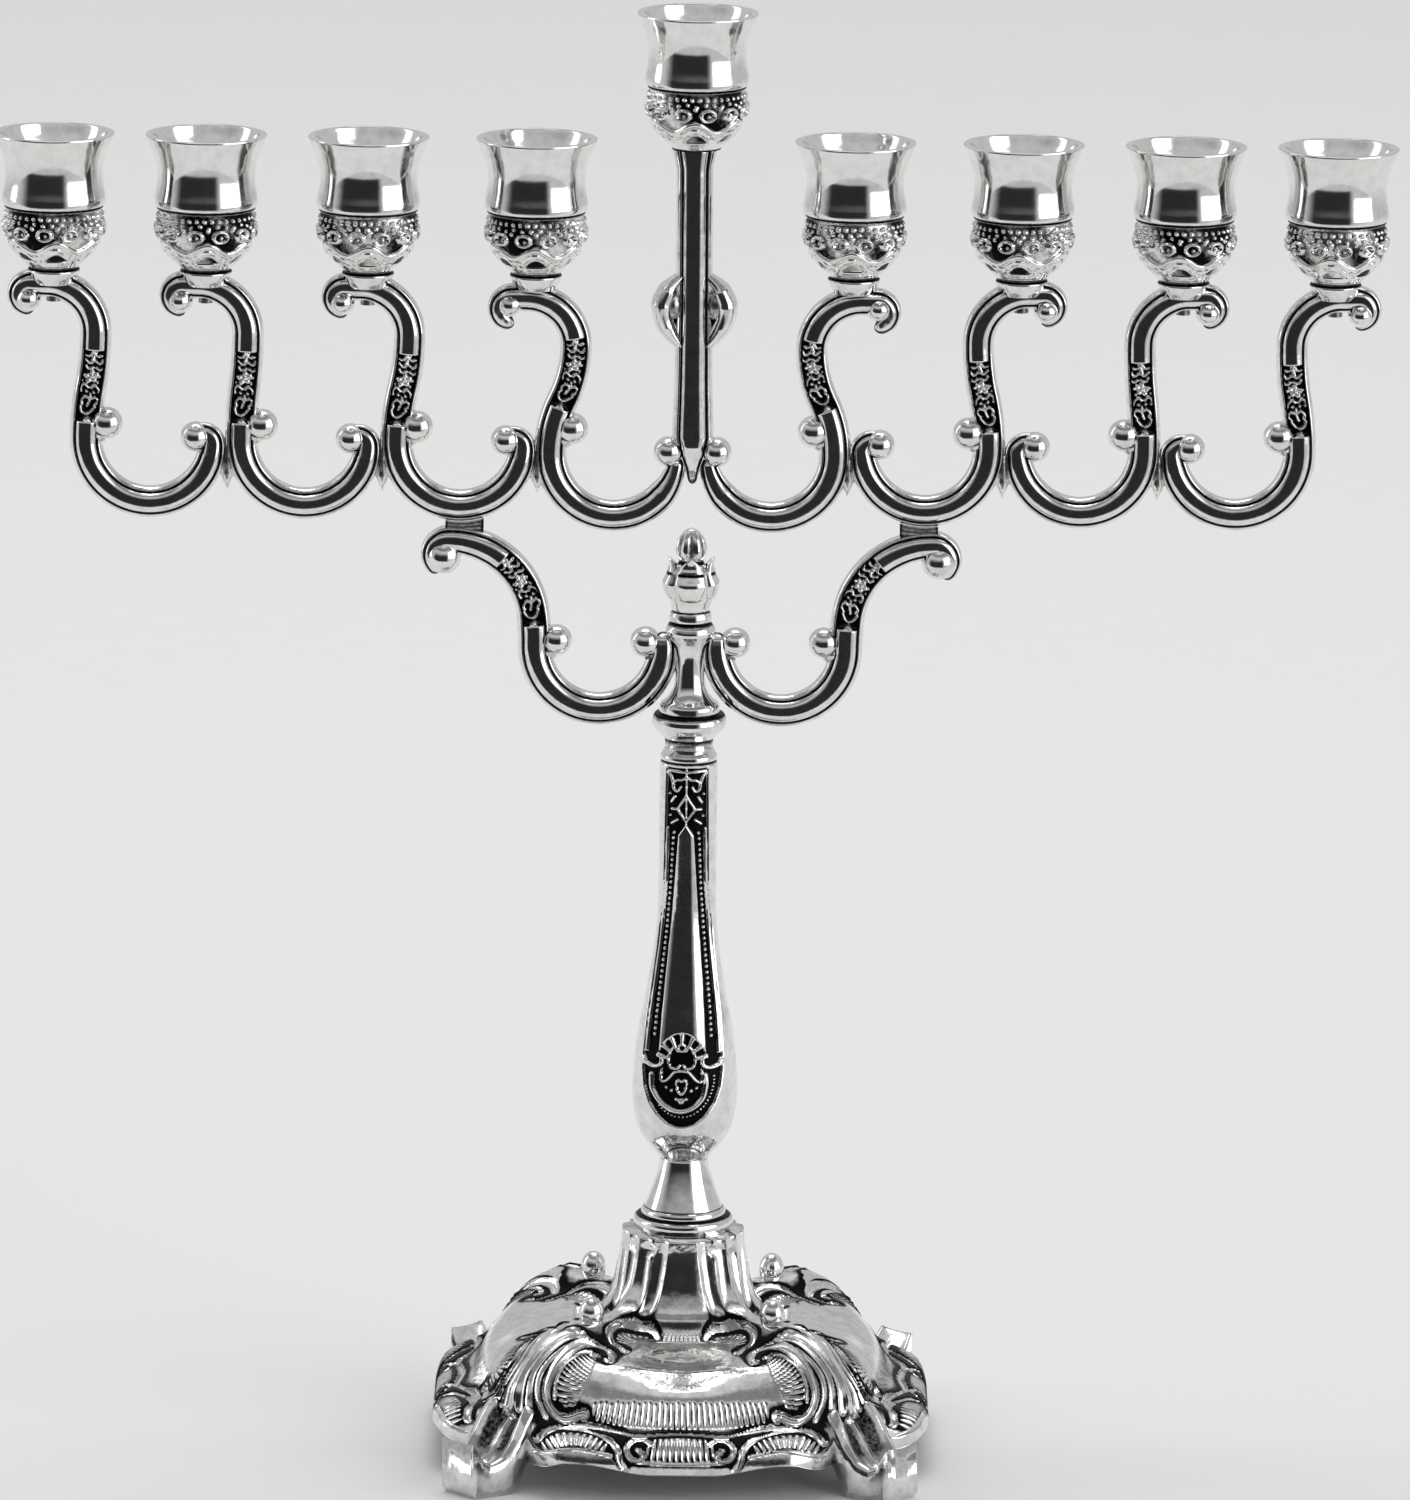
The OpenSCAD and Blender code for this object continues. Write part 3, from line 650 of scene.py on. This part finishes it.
# ------------------------------
# Hub. A waisted turned spool that swings on the rod and carries both bracket arms, which are
# soldered to its sides.
bored_piece("hub_turned", "arms", "hub", 154.6, 173.6,
            [(173.5, 0.35, 0.9), (154.9, 0.3, 0.6)], 3, 128, (6.0, 154.6),
            [(6.2, 155.0), (6.2, 156.2), (5.8, 156.9)],
            [(4.6, 157.9), (3.6, 159.4), (3.1, 161.5), (3.0, 165.5), (3.4, 168.3), (4.4, 170.2),
             (5.1, 171.2)], [(5.2, 171.9), (5.0, 172.7)], (4.3, 173.6))

# ------------------------------
# Finial. A bud held by four out-turned petals, cast in one and screwed on the rod's upper end, so
# that it clamps the hub. It stays with the stem when the arms are swung.
grid, line = turned(
    (0.05, 173.6), (3.9, 173.6), [(4.3, 174.1), (4.35, 175.0), (4.2, 175.7)], (3.7, 176.1),
    [(3.9, 176.6), (4.1, 177.3)], [(4.5, 179), (4.3, 182), (3.3, 185), (2.5, 186.4)],
    [(2.85, 188.0), (2.9, 189.3), (2.4, 191.2), (1.3, 192.8), (0.05, 193.4)])
turn_by = np.arctan2(grid[..., 1], grid[..., 0])
rise = line[:, 1][:, None] + 0 * turn_by
pleat = 0.28 * ramp(186.6, 188, rise) * ramp(193, 191, rise) * np.cos(turn_by * 6)
flat = np.maximum(np.hypot(grid[..., 0], grid[..., 1]), 1e-6)
grid[..., :2] *= (1 + pleat / flat)[..., None]
shade = (bands(grid, line, [(176.05, 0.22, 0.9), (173.6, 0.3, 0.8), (186.3, 0.5, 0.9)])
         + 0.5 * ramp(0.02, -0.2, pleat))
parts = [shell_part(grid[::-1], shade[::-1])]


def petal_part(turn):
    """A thick petal: round belly, bright lip, and a point that turns outward at the top."""
    rows = np.linspace(0, 1, 44)[:, None]
    loop = np.arange(40)[None, :] * 2 * np.pi / 40
    line = curve_through([(2.2, 177.4), (3.3, 179.0), (3.75, 181.6), (3.35, 184.2), (3.9, 186.2),
                          (4.9, 187.5)])
    place = np.linspace(0, len(line) - 1, len(rows))
    r, z = (np.interp(place, np.arange(len(line)), values)[:, None] for values in line.T)
    wide = np.interp(rows, [0, 0.2, 0.42, 0.62, 0.75, 0.88, 1],
                     [0.5, 2.6, 3.5, 2.9, 2.0, 1.1, 0.12])
    thick = np.interp(rows, [0, 0.2, 0.45, 0.62, 0.75, 0.88, 1],
                      [0.5, 1.8, 2.25, 1.5, 0.9, 0.5, 0.08])
    x = r + thick * np.sin(loop) * (1 + 0.12 * np.exp(-((rows - 0.66) / 0.04) ** 2))
    grid = spun(np.stack([x, wide * np.cos(loop), z + 0 * loop], axis=-1), turn)
    return shell_part(grid, 0.9 * np.exp(-((rows - 0.6) / 0.035) ** 2)
                      * ramp(0.1, 0.6, np.sin(loop)) + 0 * loop)


for quarter in range(4):
    parts.append(petal_part(quarter * np.pi / 2 - np.pi / 2))
build("finial_bud", parts, plated_silver("silver plate over cast bud", gloss=0.09, grain=0.3),
      "stand", "finial", 173.6)

# ------------------------------
# Bracket arms. Two flat bars, each with a raised round down the middle of both faces, bent into a
# loop and an S; cast, soldered to the hub, and finished with a ball curl under the saddle.


def bent_line(at, moves):
    """Points and headings along a chain of arcs; at is (x, z, heading), a move is radius, turn."""
    x, z, heading = at[0], at[1], np.radians(at[2])
    places, ways = [(x, z)], [heading]
    for radius, degrees in moves:
        turn, step = np.radians(degrees), 0.1
        swing = np.sign(turn) * radius
        cx, cz = x - swing * np.sin(heading), z + swing * np.cos(heading)
        count = max(4, int(abs(turn) * radius / step))
        for i in range(1, count + 1):
            way = heading + turn * i / count
            places.append((cx + swing * np.sin(way), cz - swing * np.cos(way)))
            ways.append(way)
        (x, z), heading = places[-1], heading + turn
    return np.array(places), np.array(ways)


def both_ways(at, moves, back_moves=()):
    """One line through at: the back moves are walked away from it first and then turned round."""
    places, ways = bent_line(at, moves)
    tail, tail_ways = bent_line((at[0], at[1], at[2] + 180), back_moves)
    return (np.concatenate([tail[:0:-1], places]),
            np.concatenate([tail_ways[:0:-1] - np.pi, ways]))


def foliage(v, s, long):
    """A short run of cast flowers and leaves on a black ground: v across, s along, in mm."""
    # drawn as heights over the ground, for a run of 13.5 mm, and stretched to the length asked for
    sunk, k = 1.2, long / 13.5
    a, h = np.abs(v), np.zeros(v.shape)

    def stretched(lines):
        return [(wide, high, *((across, k * up) for across, up in points))
                for wide, high, *points in lines]

    for petal in range(5):
        turn = 2 * np.pi * petal / 5 + 0.3
        h = beads(h, v, s, [(0.95 * np.sin(turn), 8.4 * k + 0.95 * np.cos(turn), 0.62, 0.95)])
    h = beads(h, v, s, [(0, 8.4 * k, 0.5, 1.35)])
    h = cords(h, a, s, stretched([
        (0.34, 1.05, (0.1, 12.9), (0.9, 12.2), (1.7, 12.4)),
        (0.36, 1.05, (0.2, 11.3), (1.0, 10.9), (1.75, 11.5)),
        (0.32, 1.05, (0.3, 10.1), (1.2, 9.8), (1.8, 10.4)),
        (0.36, 1.05, (0.3, 6.4), (1.0, 6.9), (1.7, 6.4), (1.8, 5.6)),
        (0.36, 1.05, (0.2, 4.4), (1.0, 4.7), (1.6, 4.0), (1.2, 3.2)),
        (0.34, 1.05, (0, 1.5), (0.8, 1.9), (1.4, 2.9))]), 6)
    h = cords(h, v, s, stretched([(0.28, 0.9, (-0.9, 13.1), (0.2, 12.0), (0.7, 10.8)),
                                  (0.3, 0.9, (0, 5.2), (0.1, 3.0))]), 6)
    return beads(h, a, s, [(0.0, 12.0 * k, 0.42, 1.0), (1.5, 8.6 * k, 0.4, 1.0),
                           (1.55, 7.5 * k, 0.33, 1.0), (0.7, 5.6 * k, 0.36, 1.0)]) - sunk


def bar_part(line, half_at, zone, end_round=(1.4, 1.4)):
    """A bar swept along a bent line, alike front and back, with its raised round, grooves and
    foliage. half_at gives its half width in mm at shares of its run, zone the run in mm between
    which the foliage lies, and end_round the length over which each end is rounded off."""
    places, ways = line
    gaps = np.hypot(*np.diff(places, axis=0).T)
    run_all = np.concatenate([[0], np.cumsum(gaps)])
    whole, step = run_all[-1], 0.3
    fine = 0.14
    rows = np.concatenate([
        np.linspace(0, 1.5, 10)[:-1], np.arange(1.5, zone[0] - 0.5, step),
        np.arange(zone[0] - 0.5, zone[1] + 0.5, fine),
        np.arange(zone[1] + 0.5, whole - 1.5, step), np.linspace(whole - 1.5, whole, 10)])
    x, z, way = (np.interp(rows, run_all, values) for values in (*places.T, ways))
    half = np.interp(rows / whole, *np.array(half_at).T)
    for end, reach in ((rows, end_round[0]), (whole - rows, end_round[1])):
        half = half * np.sqrt(np.clip(1 - (1 - np.clip(end / reach, 0.01, 1)) ** 2, 0.003, 1))
    count = 44
    face = (np.sin(np.linspace(-np.pi / 2, np.pi / 2, count)) * 0.35
            + np.linspace(-1, 1, count) * 0.65)
    share = np.clip(half / np.median(half), 0.02, 1)[:, None]
    x, z, way, half = (values[:, None] for values in (x, z, way, half))
    v = face * half
    s = rows[:, None] + 0 * v
    edge = np.abs(face) + 0 * v
    # a bevelled flange, a flat-topped round down its middle, and a groove along each side of it
    shoulder, crown = 1.15, 2.95
    flange = share * (2.2 - 1.35 * np.clip((edge - 0.64) / 0.36, 0, 1) ** 1.15)
    flange = flange * np.sqrt(np.clip(1 - np.clip((edge - 0.88) / 0.12, 0, 1) ** 2 * 0.95, 0, 1))
    core = 0.65 * half
    raised_round = share * (shoulder + (crown - shoulder)
                            * np.sqrt(np.clip(1 - np.abs(v / core) ** 3, 0, 1)))
    groove = np.exp(-((np.abs(v) - core) / 0.26) ** 2)
    plain = np.maximum(flange - 0.55 * share * groove,
                       np.where(np.abs(v) < core, raised_round, 0))
    leaves = (ramp(zone[0], zone[0] + 0.2 + 1.6 * (1 - edge), s)
              * ramp(zone[1], zone[1] - 0.7, s) * ramp(0.70, 0.62, edge))
    pattern = 2.0 + foliage(0.3 * np.sin(0.95 * s) + v * 2.05 / np.maximum(0.66 * half, 0.4),
                            s - zone[0], zone[1] - zone[0])
    tall = plain * (1 - leaves) + pattern * leaves
    black = np.maximum(groove, 0.72 * leaves * ramp(1.35, 0.9, pattern))
    x, z = x - np.sin(way) * v, z + np.cos(way) * v
    grid = np.concatenate([np.stack([x, -tall, z], -1), np.stack([x, tall, z], -1)[:, ::-1]], 1)
    return shell_part(grid, np.concatenate([black, black[:, ::-1]], axis=1))


def sided(part, side):
    """The part itself for side 1, or its mirror image in x for side -1, still facing outward."""
    points, shade, quads, caps = part
    if side > 0:
        return part
    return (points * np.array([-1, 1, 1]), shade, quads[:, ::-1], [cap[::-1] for cap in caps])


silver_bar = plated_silver("silver plate over cast scrollwork", gloss=0.1, grain=0.4)
arm_parts = [
    bar_part(bent_line((-5.5, 171.5, -90),
                       [(9000, 0.019), (13.2, -180), (60, 6), (17.4, 84), (3.5, 150)]),
             [(0, 2.2), (0.03, 2.9), (0.08, 3.3), (0.3, 3.4), (0.55, 3.45), (0.8, 3.3), (0.9, 3.0),
              (0.96, 2.4), (1, 1.7)], (48.5, 64.5)),
    ball_part((-9.2, 0, 169.4), (3.2, 3.4, 3.2)), ball_part((-27.4, 0, 169.6), (3.2, 3.4, 3.2)),
    ball_part((-8.0, 0, 167.2), (1.7, 1.9, 2.0), oxide_and_painted_shade=0.5),
    ball_part((-28.9, 0, 167.6), (2.0, 2.0, 2.4), oxide_and_painted_shade=0.3),
    ball_part((-50.7, 0, 186.8), (3.6, 3.9, 3.6))]
for side, name in ((1, "left"), (-1, "right")):
    build(f"lower_arm_{name}_cast", [sided(part, side) for part in arm_parts], silver_bar, "arms",
          f"lower_arm_{name}", 152.2)

# ------------------------------
# Saddles. Small pads of solder and plate between a bracket arm and the gallery's loop above it,
# left black at their ends.


def pad_part(x0, x1, half_y, low, ring, highest):
    """A pad flat below and hollowed to a loop above; ring is (centre x, centre z, radius)."""
    x = np.linspace(x0, x1, 40)
    rows = []
    for px in x:
        top = min(ring[1] - np.sqrt(ring[2] ** 2 - (px - ring[0]) ** 2) + 0.15, highest)
        middle, belly = (low + top) / 2, half_y * 1.04
        rows.append([(px, -half_y, low), (px, -belly, middle), (px, -half_y, top), (px, 0, top),
                     (px, half_y, top), (px, belly, middle), (px, half_y, low), (px, 0, low)])
    grid = np.array(rows)
    ends = 0.45 + 0.5 * ramp(3.0, 4.6, np.abs(x - (x0 + x1) / 2))[:, None] + 0 * grid[..., 0]
    return shell_part(grid, ends)


pad = pad_part(-50.4, -42.6, 1.3, 192.3, (-1.5 * 31.7, 210, 16.3), 195.5)
for side, name in ((1, "left"), (-1, "right")):
    build(f"saddle_{name}_solder", [sided(pad, side)], silver_bar, "arms", f"saddle_{name}", 192.3)

# ------------------------------
# Branches. Eight cast S-bars soldered side by side into one gallery: each runs from the ball at
# the end of its loop, round the bottom, up past a band of leaves and under its own cup.
pitch = -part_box("branch_3")[1].x / MM
cup_seat = []
for number in range(1, 10):
    low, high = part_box(f"cup_{number}")
    cup_seat.append(((low.x + high.x) / 2 / MM, low.z / MM))


def collar_part(x, top):
    """The short flare of metal between a cup and its bar."""
    grid, line = turned((0.1, top - 3.2), (3.9, top - 3.2),
                        [(4.6, top - 2.2), (5.1, top - 1.2), (5.35, top - 0.5), (5.2, top - 0.05)],
                        (0.1, top - 0.05), columns=72)
    grid[..., 0] += x
    return shell_part(grid[::-1], bands(grid, line, [(top, 0.3, 1)])[::-1])


def web_part(x):
    """The fillet of metal between two loops: a wedge that narrows to a point below."""
    z = np.linspace(200.3, 209.5, 24)[:, None]
    half = np.interp(z, [200.3, 201.2, 203.5, 206, 209.5], [0.05, 0.5, 1.5, 1.2, 0.9])
    deep = np.interp(z, [200.3, 202, 206, 209.5], [0.2, 1.5, 1.9, 1.4])
    a = np.arange(20) * 2 * np.pi / 20
    grid = np.stack([x + half * np.cos(a), deep * np.sin(a), z + 0 * a], -1)
    return shell_part(grid[::-1], (ramp(203.0, 206.0, z) * 0.5 + 0 * a)[::-1])


for k in range(1, 5):
    loop_x = -(k - 0.5) * pitch
    seat, seat_z = cup_seat[4 - k]
    inner, loop_r = k == 1, 13.0
    lean, rise = seat + 8.6 - (loop_x - loop_r), 22.2
    turn = 2 * np.degrees(np.arctan2(lean, rise))
    lean_r = rise / (2 * np.sin(np.radians(turn)))
    end = np.radians(-12 if inner else -4)
    bend = [(loop_r, -176), (lean_r, -turn), (lean_r, turn), (10, 90), (9000, 0.02), (2.6, 190)]
    parts = [
        bar_part(both_ways((loop_x + loop_r * np.cos(end), 210.5 + loop_r * np.sin(end), 266),
                           bend, [] if inner else [(2.3, 150)]),
                 [(0, 1.7), (0.035, 2.2), (0.09, 3.0), (0.17, 3.25), (0.5, 3.35), (0.74, 3.2),
                  (0.82, 3.15), (0.89, 3.0), (0.93, 2.6), (0.97, 2.2), (1, 1.6)], (49.5, 64.8)),
        ball_part((loop_x + 10.9, 0, 209.2) if inner else (loop_x + 9.3, 0, 211.1),
                  (3.1, 3.4, 3.1)),
        ball_part((loop_x - 8.8, 0, 213.7), (3.3, 3.4, 3.3)),
        ball_part((loop_x - 10.3, 0, 212.0), (2.0, 2.0, 2.4), oxide_and_painted_shade=0.3),
        ball_part((seat - 5.2, 0, 239.4), (2.7, 3.7, 2.7)), collar_part(seat, seat_z + 1.3)]
    if not inner:
        parts.append(web_part(loop_x + pitch / 2))
    for side, number in ((1, 5 - k), (-1, 4 + k)):
        build(f"branch_{number}_cast", [sided(part, side) for part in parts], silver_bar, "arms",
              f"branch_{number}", 193.7)

# ------------------------------
# Servant stem. An upright bar of the same section that lifts the ninth cup, with a scroll on each
# side and two balls at its foot, pinched between the two innermost loops.
stem_bar = bar_part(bent_line((0, 202.5, 90), [(9000, 0.4424)]),
                    [(0, 0.7), (0.04, 1.5), (0.09, 3.2), (0.14, 4.3), (0.3, 3.9), (0.5, 3.75),
                     (0.94, 3.75), (1, 4.6)], (0.4, 3.0), end_round=(1.0, 0.3))
wing = curve_through([(-2.4, 231.0), (-4.6, 233.6), (-6.2, 236.6), (-6.5, 239.6), (-5.7, 242.0),
                      (-4.7, 243.7), (-2.4, 245.9)], 12)
wing_x, wing_z = wing[:, :1], wing[:, 1:]
way = np.arctan2(*np.gradient(wing, axis=0).T[::-1])[:, None]
loop = np.arange(20) * 2 * np.pi / 20
fat = np.interp(np.linspace(0, 1, len(wing)), [0, 0.25, 0.5, 0.75, 1],
                [1.0, 2.0, 2.4, 2.1, 1.0])[:, None] * np.cos(loop)
deep = np.interp(np.linspace(0, 1, len(wing)), [0, 0.25, 0.5, 0.75, 1],
                 [1.6, 3.2, 3.84, 3.36, 1.6])[:, None] * np.sin(loop)
rim = np.stack([wing_x - np.sin(way) * fat, deep, wing_z + np.cos(way) * fat], axis=-1)
thin = 0.9 * np.sin(loop) * np.clip(np.sin(np.linspace(0.1, np.pi - 0.1, len(wing))), 0.1,
                                    1)[:, None]
inward = np.interp(np.cos(loop), [-1, 1], [0, 1])
plate = np.stack([wing_x + (-2.2 - wing_x) * inward, -thin, wing_z + 0 * thin], axis=-1)
scroll = [shell_part(rim, 0 * fat), shell_part(plate, 1.0 + 0 * thin),
          ball_part((-4.5, 0, 239.8), (2.3, 2.7, 3.4), oxide_and_painted_shade=0.4)]
build("servant_stem_cast", [stem_bar] + [sided(part, side) for side in (1, -1) for part in scroll],
      silver_bar, "arms", "shamash_stem", 204.0)

# ------------------------------
# Candle cups. Nine alike: a lathe-polished flare over a cast bowl with two rows of pearls, a row
# of eyelets and leaf swags. Each is screwed on its own stud and stops wherever its thread ran out.


def cup_relief(x, z, belt):
    """Relief of a cup's bowl: x is the way round it, of belt in all, z the height over the seat."""
    def around(count, shift=0.0):
        """Distance, along the belt, from the nearest of so many places set evenly round it."""
        return ((x / (belt / count) + shift) % 1 - 0.5) * (belt / count)

    def pearls(across, up, radius):
        return dome(np.hypot(across, up) / radius)

    band = ramp(3.2, 3.7, z) * ramp(14.2, 13.7, z)
    sunk = 0.45
    dip = 7.6 - 2.2 * np.cos(np.pi * around(6) * 6 / belt) ** 2
    lobes = 0.75 + 0.25 * np.cos(2 * np.pi * x / (belt / 18))
    h = sunk * (1 - band)
    for raised_by in (0.55 * pearls(around(40), z - 12.7, 0.42),
                      0.5 * pearls(around(34, 0.4), z - 11.5 - 0.25 * np.sin(x * 1.3), 0.40),
                      0.95 * dome((np.hypot(around(12) / 1.9, (z - 9.5) / 1.45) - 0.78) / 0.22),
                      0.5 * pearls(around(12) - 0.2, z - 9.3, 0.42),
                      0.7 * pearls(around(12, 0.5), z - 10.8, 0.45),
                      0.8 * dome((z - dip) / 0.75),
                      0.75 * lobes * dome((z - dip + 1.6) / 0.85) * (z > 3.0)):
        h = np.maximum(h, raised_by)
    return np.where(band > 0.02, h - sunk, 0) * band


def cup_part(turn):
    """One cup on its seat at the origin, its relief turned by turn radians."""
    columns, girth = 220, 10.2
    foot, foot_line = turned((0.05, 1.35), (5.0, 1.35), [(5.15, 1.7), (5.7, 2.3)],
                             columns=columns)
    bowl_z = np.arange(2.4, 14.0, 0.19)[:, None]
    bowl_line = curve_through([(5.7, 2.2), (6.6, 3.2), (8.2, 5.0), (9.6, 7.3), (10.25, 10.0),
                               (10.3, 11.6), (10.15, 13.2), (10.05, 14.0)], 12)
    upper, upper_line = turned(
        (10.05, 14.05), (9.95, 14.35), [(10.4, 14.75), (10.55, 15.5), (10.5, 16.3)],
        [(10.05, 18.6), (9.9, 21.0), (10.2, 23.2), (11.0, 25.8), (11.8, 27.7), (12.35, 29.0)],
        [(12.3, 29.25), (12.1, 29.3)], (11.15, 29.3),
        [(10.9, 29.1), (10.2, 27.3), (9.2, 25.0), (8.5, 22.2), (8.3, 19.5), (8.0, 17.7)],
        [(7.8, 17.35), (5.25, 17.3)], (5.25, 5.3), (0.05, 5.3), columns=columns)
    a = np.arange(columns) * 2 * np.pi / columns - np.pi / 2
    x = ((a + turn) % (2 * np.pi)) * girth + 0 * bowl_z
    z = bowl_z + 0 * x
    h = cup_relief(x, z, 2 * np.pi * girth)
    r = np.interp(z, bowl_line[:, 1], bowl_line[:, 0]) + h
    bowl = np.stack([r * np.cos(a), r * np.sin(a), z], axis=-1)
    patchy = 0.54 + 0.2 * np.sin(2 * x / girth + 0.6) + 0.16 * np.sin(5 * x / girth + z * 0.5)
    # painted shade: the bore inside the cup is darkened
    painted_bore_shade = np.where(upper_line[:, :1] < 5.4, 0.35, 0)
    shade = [bands(foot, foot_line, [(1.35, 0.5, 0.8)]), ramp(-0.1, -0.42, h) * patchy,
             bands(upper, upper_line, [(14.3, 0.3, 1)], clear=9) + painted_bore_shade]
    return shell_part(np.concatenate([foot, bowl, upper])[::-1], np.concatenate(shade)[::-1])


silver_cup = plated_silver("silver plate, polished cup", gloss=0.11, grain=0.2, film=0.2)
for number, (x, _) in enumerate(cup_seat, 1):
    points, *rest = cup_part(0.37 + number * 2.13)
    build(f"cup_{number}_cast", [(points + np.array([x, 0, 0]), *rest)], silver_cup,
          f"candle_cup_{number}", f"cup_{number}", 0)

# ------------------------------
# Table, light and camera. A white card table under one soft box, in a pale room with a few dark
# and bright patches, which the polished plate mirrors as the shapes in its rounds.
paper = bpy.data.materials.new("white card, matt")
paper.use_nodes = True
card = paper.node_tree
fibre = add_node(card, "ShaderNodeTexNoise", Scale=900.0, Detail=2.0)
face = card.nodes["Principled BSDF"]
card.links.new(mix(card, fibre.outputs["Fac"], colour("#F5F5F4"), colour("#F8F8F7")),
               face.inputs["Base Color"])
face.inputs["Roughness"].default_value = 0.85
# The card is five sheets: the one in front of the near sheet is kept out of the reflections, as a
# black flag under a still-life table does.
near, reach = 0.34, 6.0
for name, left, front, right, far in (
        ("floor_near", -near, -near, near, near), ("floor_front", -reach, -reach, reach, -near),
        ("floor_back", -reach, near, reach, reach), ("floor_left", -reach, -near, -near, near),
        ("floor_right", near, -near, reach, near)):
    sheet = bpy.data.meshes.new(name)
    sheet.from_pydata([(left, front, 0), (right, front, 0), (right, far, 0), (left, far, 0)], [],
                      [(0, 1, 2, 3)])
    sheet.materials.append(paper)
    floor = bpy.data.objects.new(name, sheet)
    floor.visible_glossy = name != "floor_front"
    bpy.context.scene.collection.objects.link(floor)


lamp = bpy.data.lights.new("top", "AREA")
lamp.shape = "RECTANGLE"
lamp.size, lamp.size_y = 1.4, 1.0
lamp.energy = 15
holder = bpy.data.objects.new("top", lamp)
holder.location = (0, 0.5, 2.4)
shining = Vector((0, 0.1, 0.1)) - holder.location
holder.rotation_euler = shining.to_track_quat("-Z", "Y").to_euler()
bpy.context.scene.collection.objects.link(holder)

world = bpy.data.worlds.new("studio")
bpy.context.scene.world = world
world.use_nodes = True
tree = world.node_tree
tree.nodes.clear()
way = add_node(tree, "ShaderNodeTexCoord")
xyz = add_node(tree, "ShaderNodeSeparateXYZ", Vector=way.outputs["Generated"])
back = add_node(tree, "ShaderNodeMath", {"operation": "MULTIPLY"}, i0=xyz.outputs["Y"], i1=-1.0)
bearing = add_node(tree, "ShaderNodeMath", {"operation": "ARCTAN2"}, i0=xyz.outputs["X"],
                   i1=back.outputs[0])


def times(first, second):
    return add_node(tree, "ShaderNodeMath", {"operation": "MULTIPLY"}, i0=first,
                    i1=second).outputs[0]


def step_between(value, low, high, soft, high_soft):
    """1 between two limits, falling to 0 over the soft margins outside them."""
    return times(span(tree, value, low - soft, low, smooth=True),
                 span(tree, value, high, high + high_soft, 1.0, 0.0, smooth=True))


def window(left, right, low, high, sides=(0.05, 0.05), ends=(0.05, 0.05)):
    """1 inside a patch of the surroundings, given by its bearings and heights in degrees."""
    return times(step_between(bearing.outputs[0], np.radians(left), np.radians(right), *sides),
                 step_between(xyz.outputs["Z"], np.sin(np.radians(low)), np.sin(np.radians(high)),
                              *ends))


light = mix(tree, span(tree, xyz.outputs["Z"], 0.6, 0.9, smooth=True), colour("#C6C6C6"),
            colour("#D8D8D8"))
for patch, *tone in (
        (window(-120, 120, 50, 62, ends=(0.09, 0.09)), 0.25, 0.25, 0.25),
        (window(-56, 22, -22, 9, (0.5, 0.25), (0.09, 0.45)), 0.025, 0.025, 0.026),
        (window(40, 80, -6, 34, (0.12, 0.08)), 2.6, 2.6, 2.6),
        (window(-108, -93, -4, 40), 2.2, 2.2, 2.2)):
    light = mix(tree, patch, light, (*tone, 1.0))
# The eye sees a plain backdrop; only the light and the reflections come from the patches above.
sight = add_node(tree, "ShaderNodeLightPath")
seen = mix(tree, sight.outputs["Is Camera Ray"], light, (0.9, 0.9, 0.9, 1.0))
sky = add_node(tree, "ShaderNodeBackground", Color=seen, Strength=1.0)
add_node(tree, "ShaderNodeOutputWorld", Surface=sky.outputs[0])
bpy.context.scene.view_settings.view_transform = "Standard"

camera = bpy.data.objects.new("camera", bpy.data.cameras.new("camera"))
bpy.context.scene.collection.objects.link(camera)
bpy.context.scene.camera = camera
camera.data.lens = 293.1
camera.location = (0, -2.45, 0.69)
aim = Vector((0.0033, 0, 0.1468)) - camera.location
camera.rotation_euler = (aim.to_track_quat("-Z", "Y").to_matrix()
                         @ Matrix.Rotation(np.radians(0.73), 3, "Z")).to_euler()
camera.data.clip_end = 50
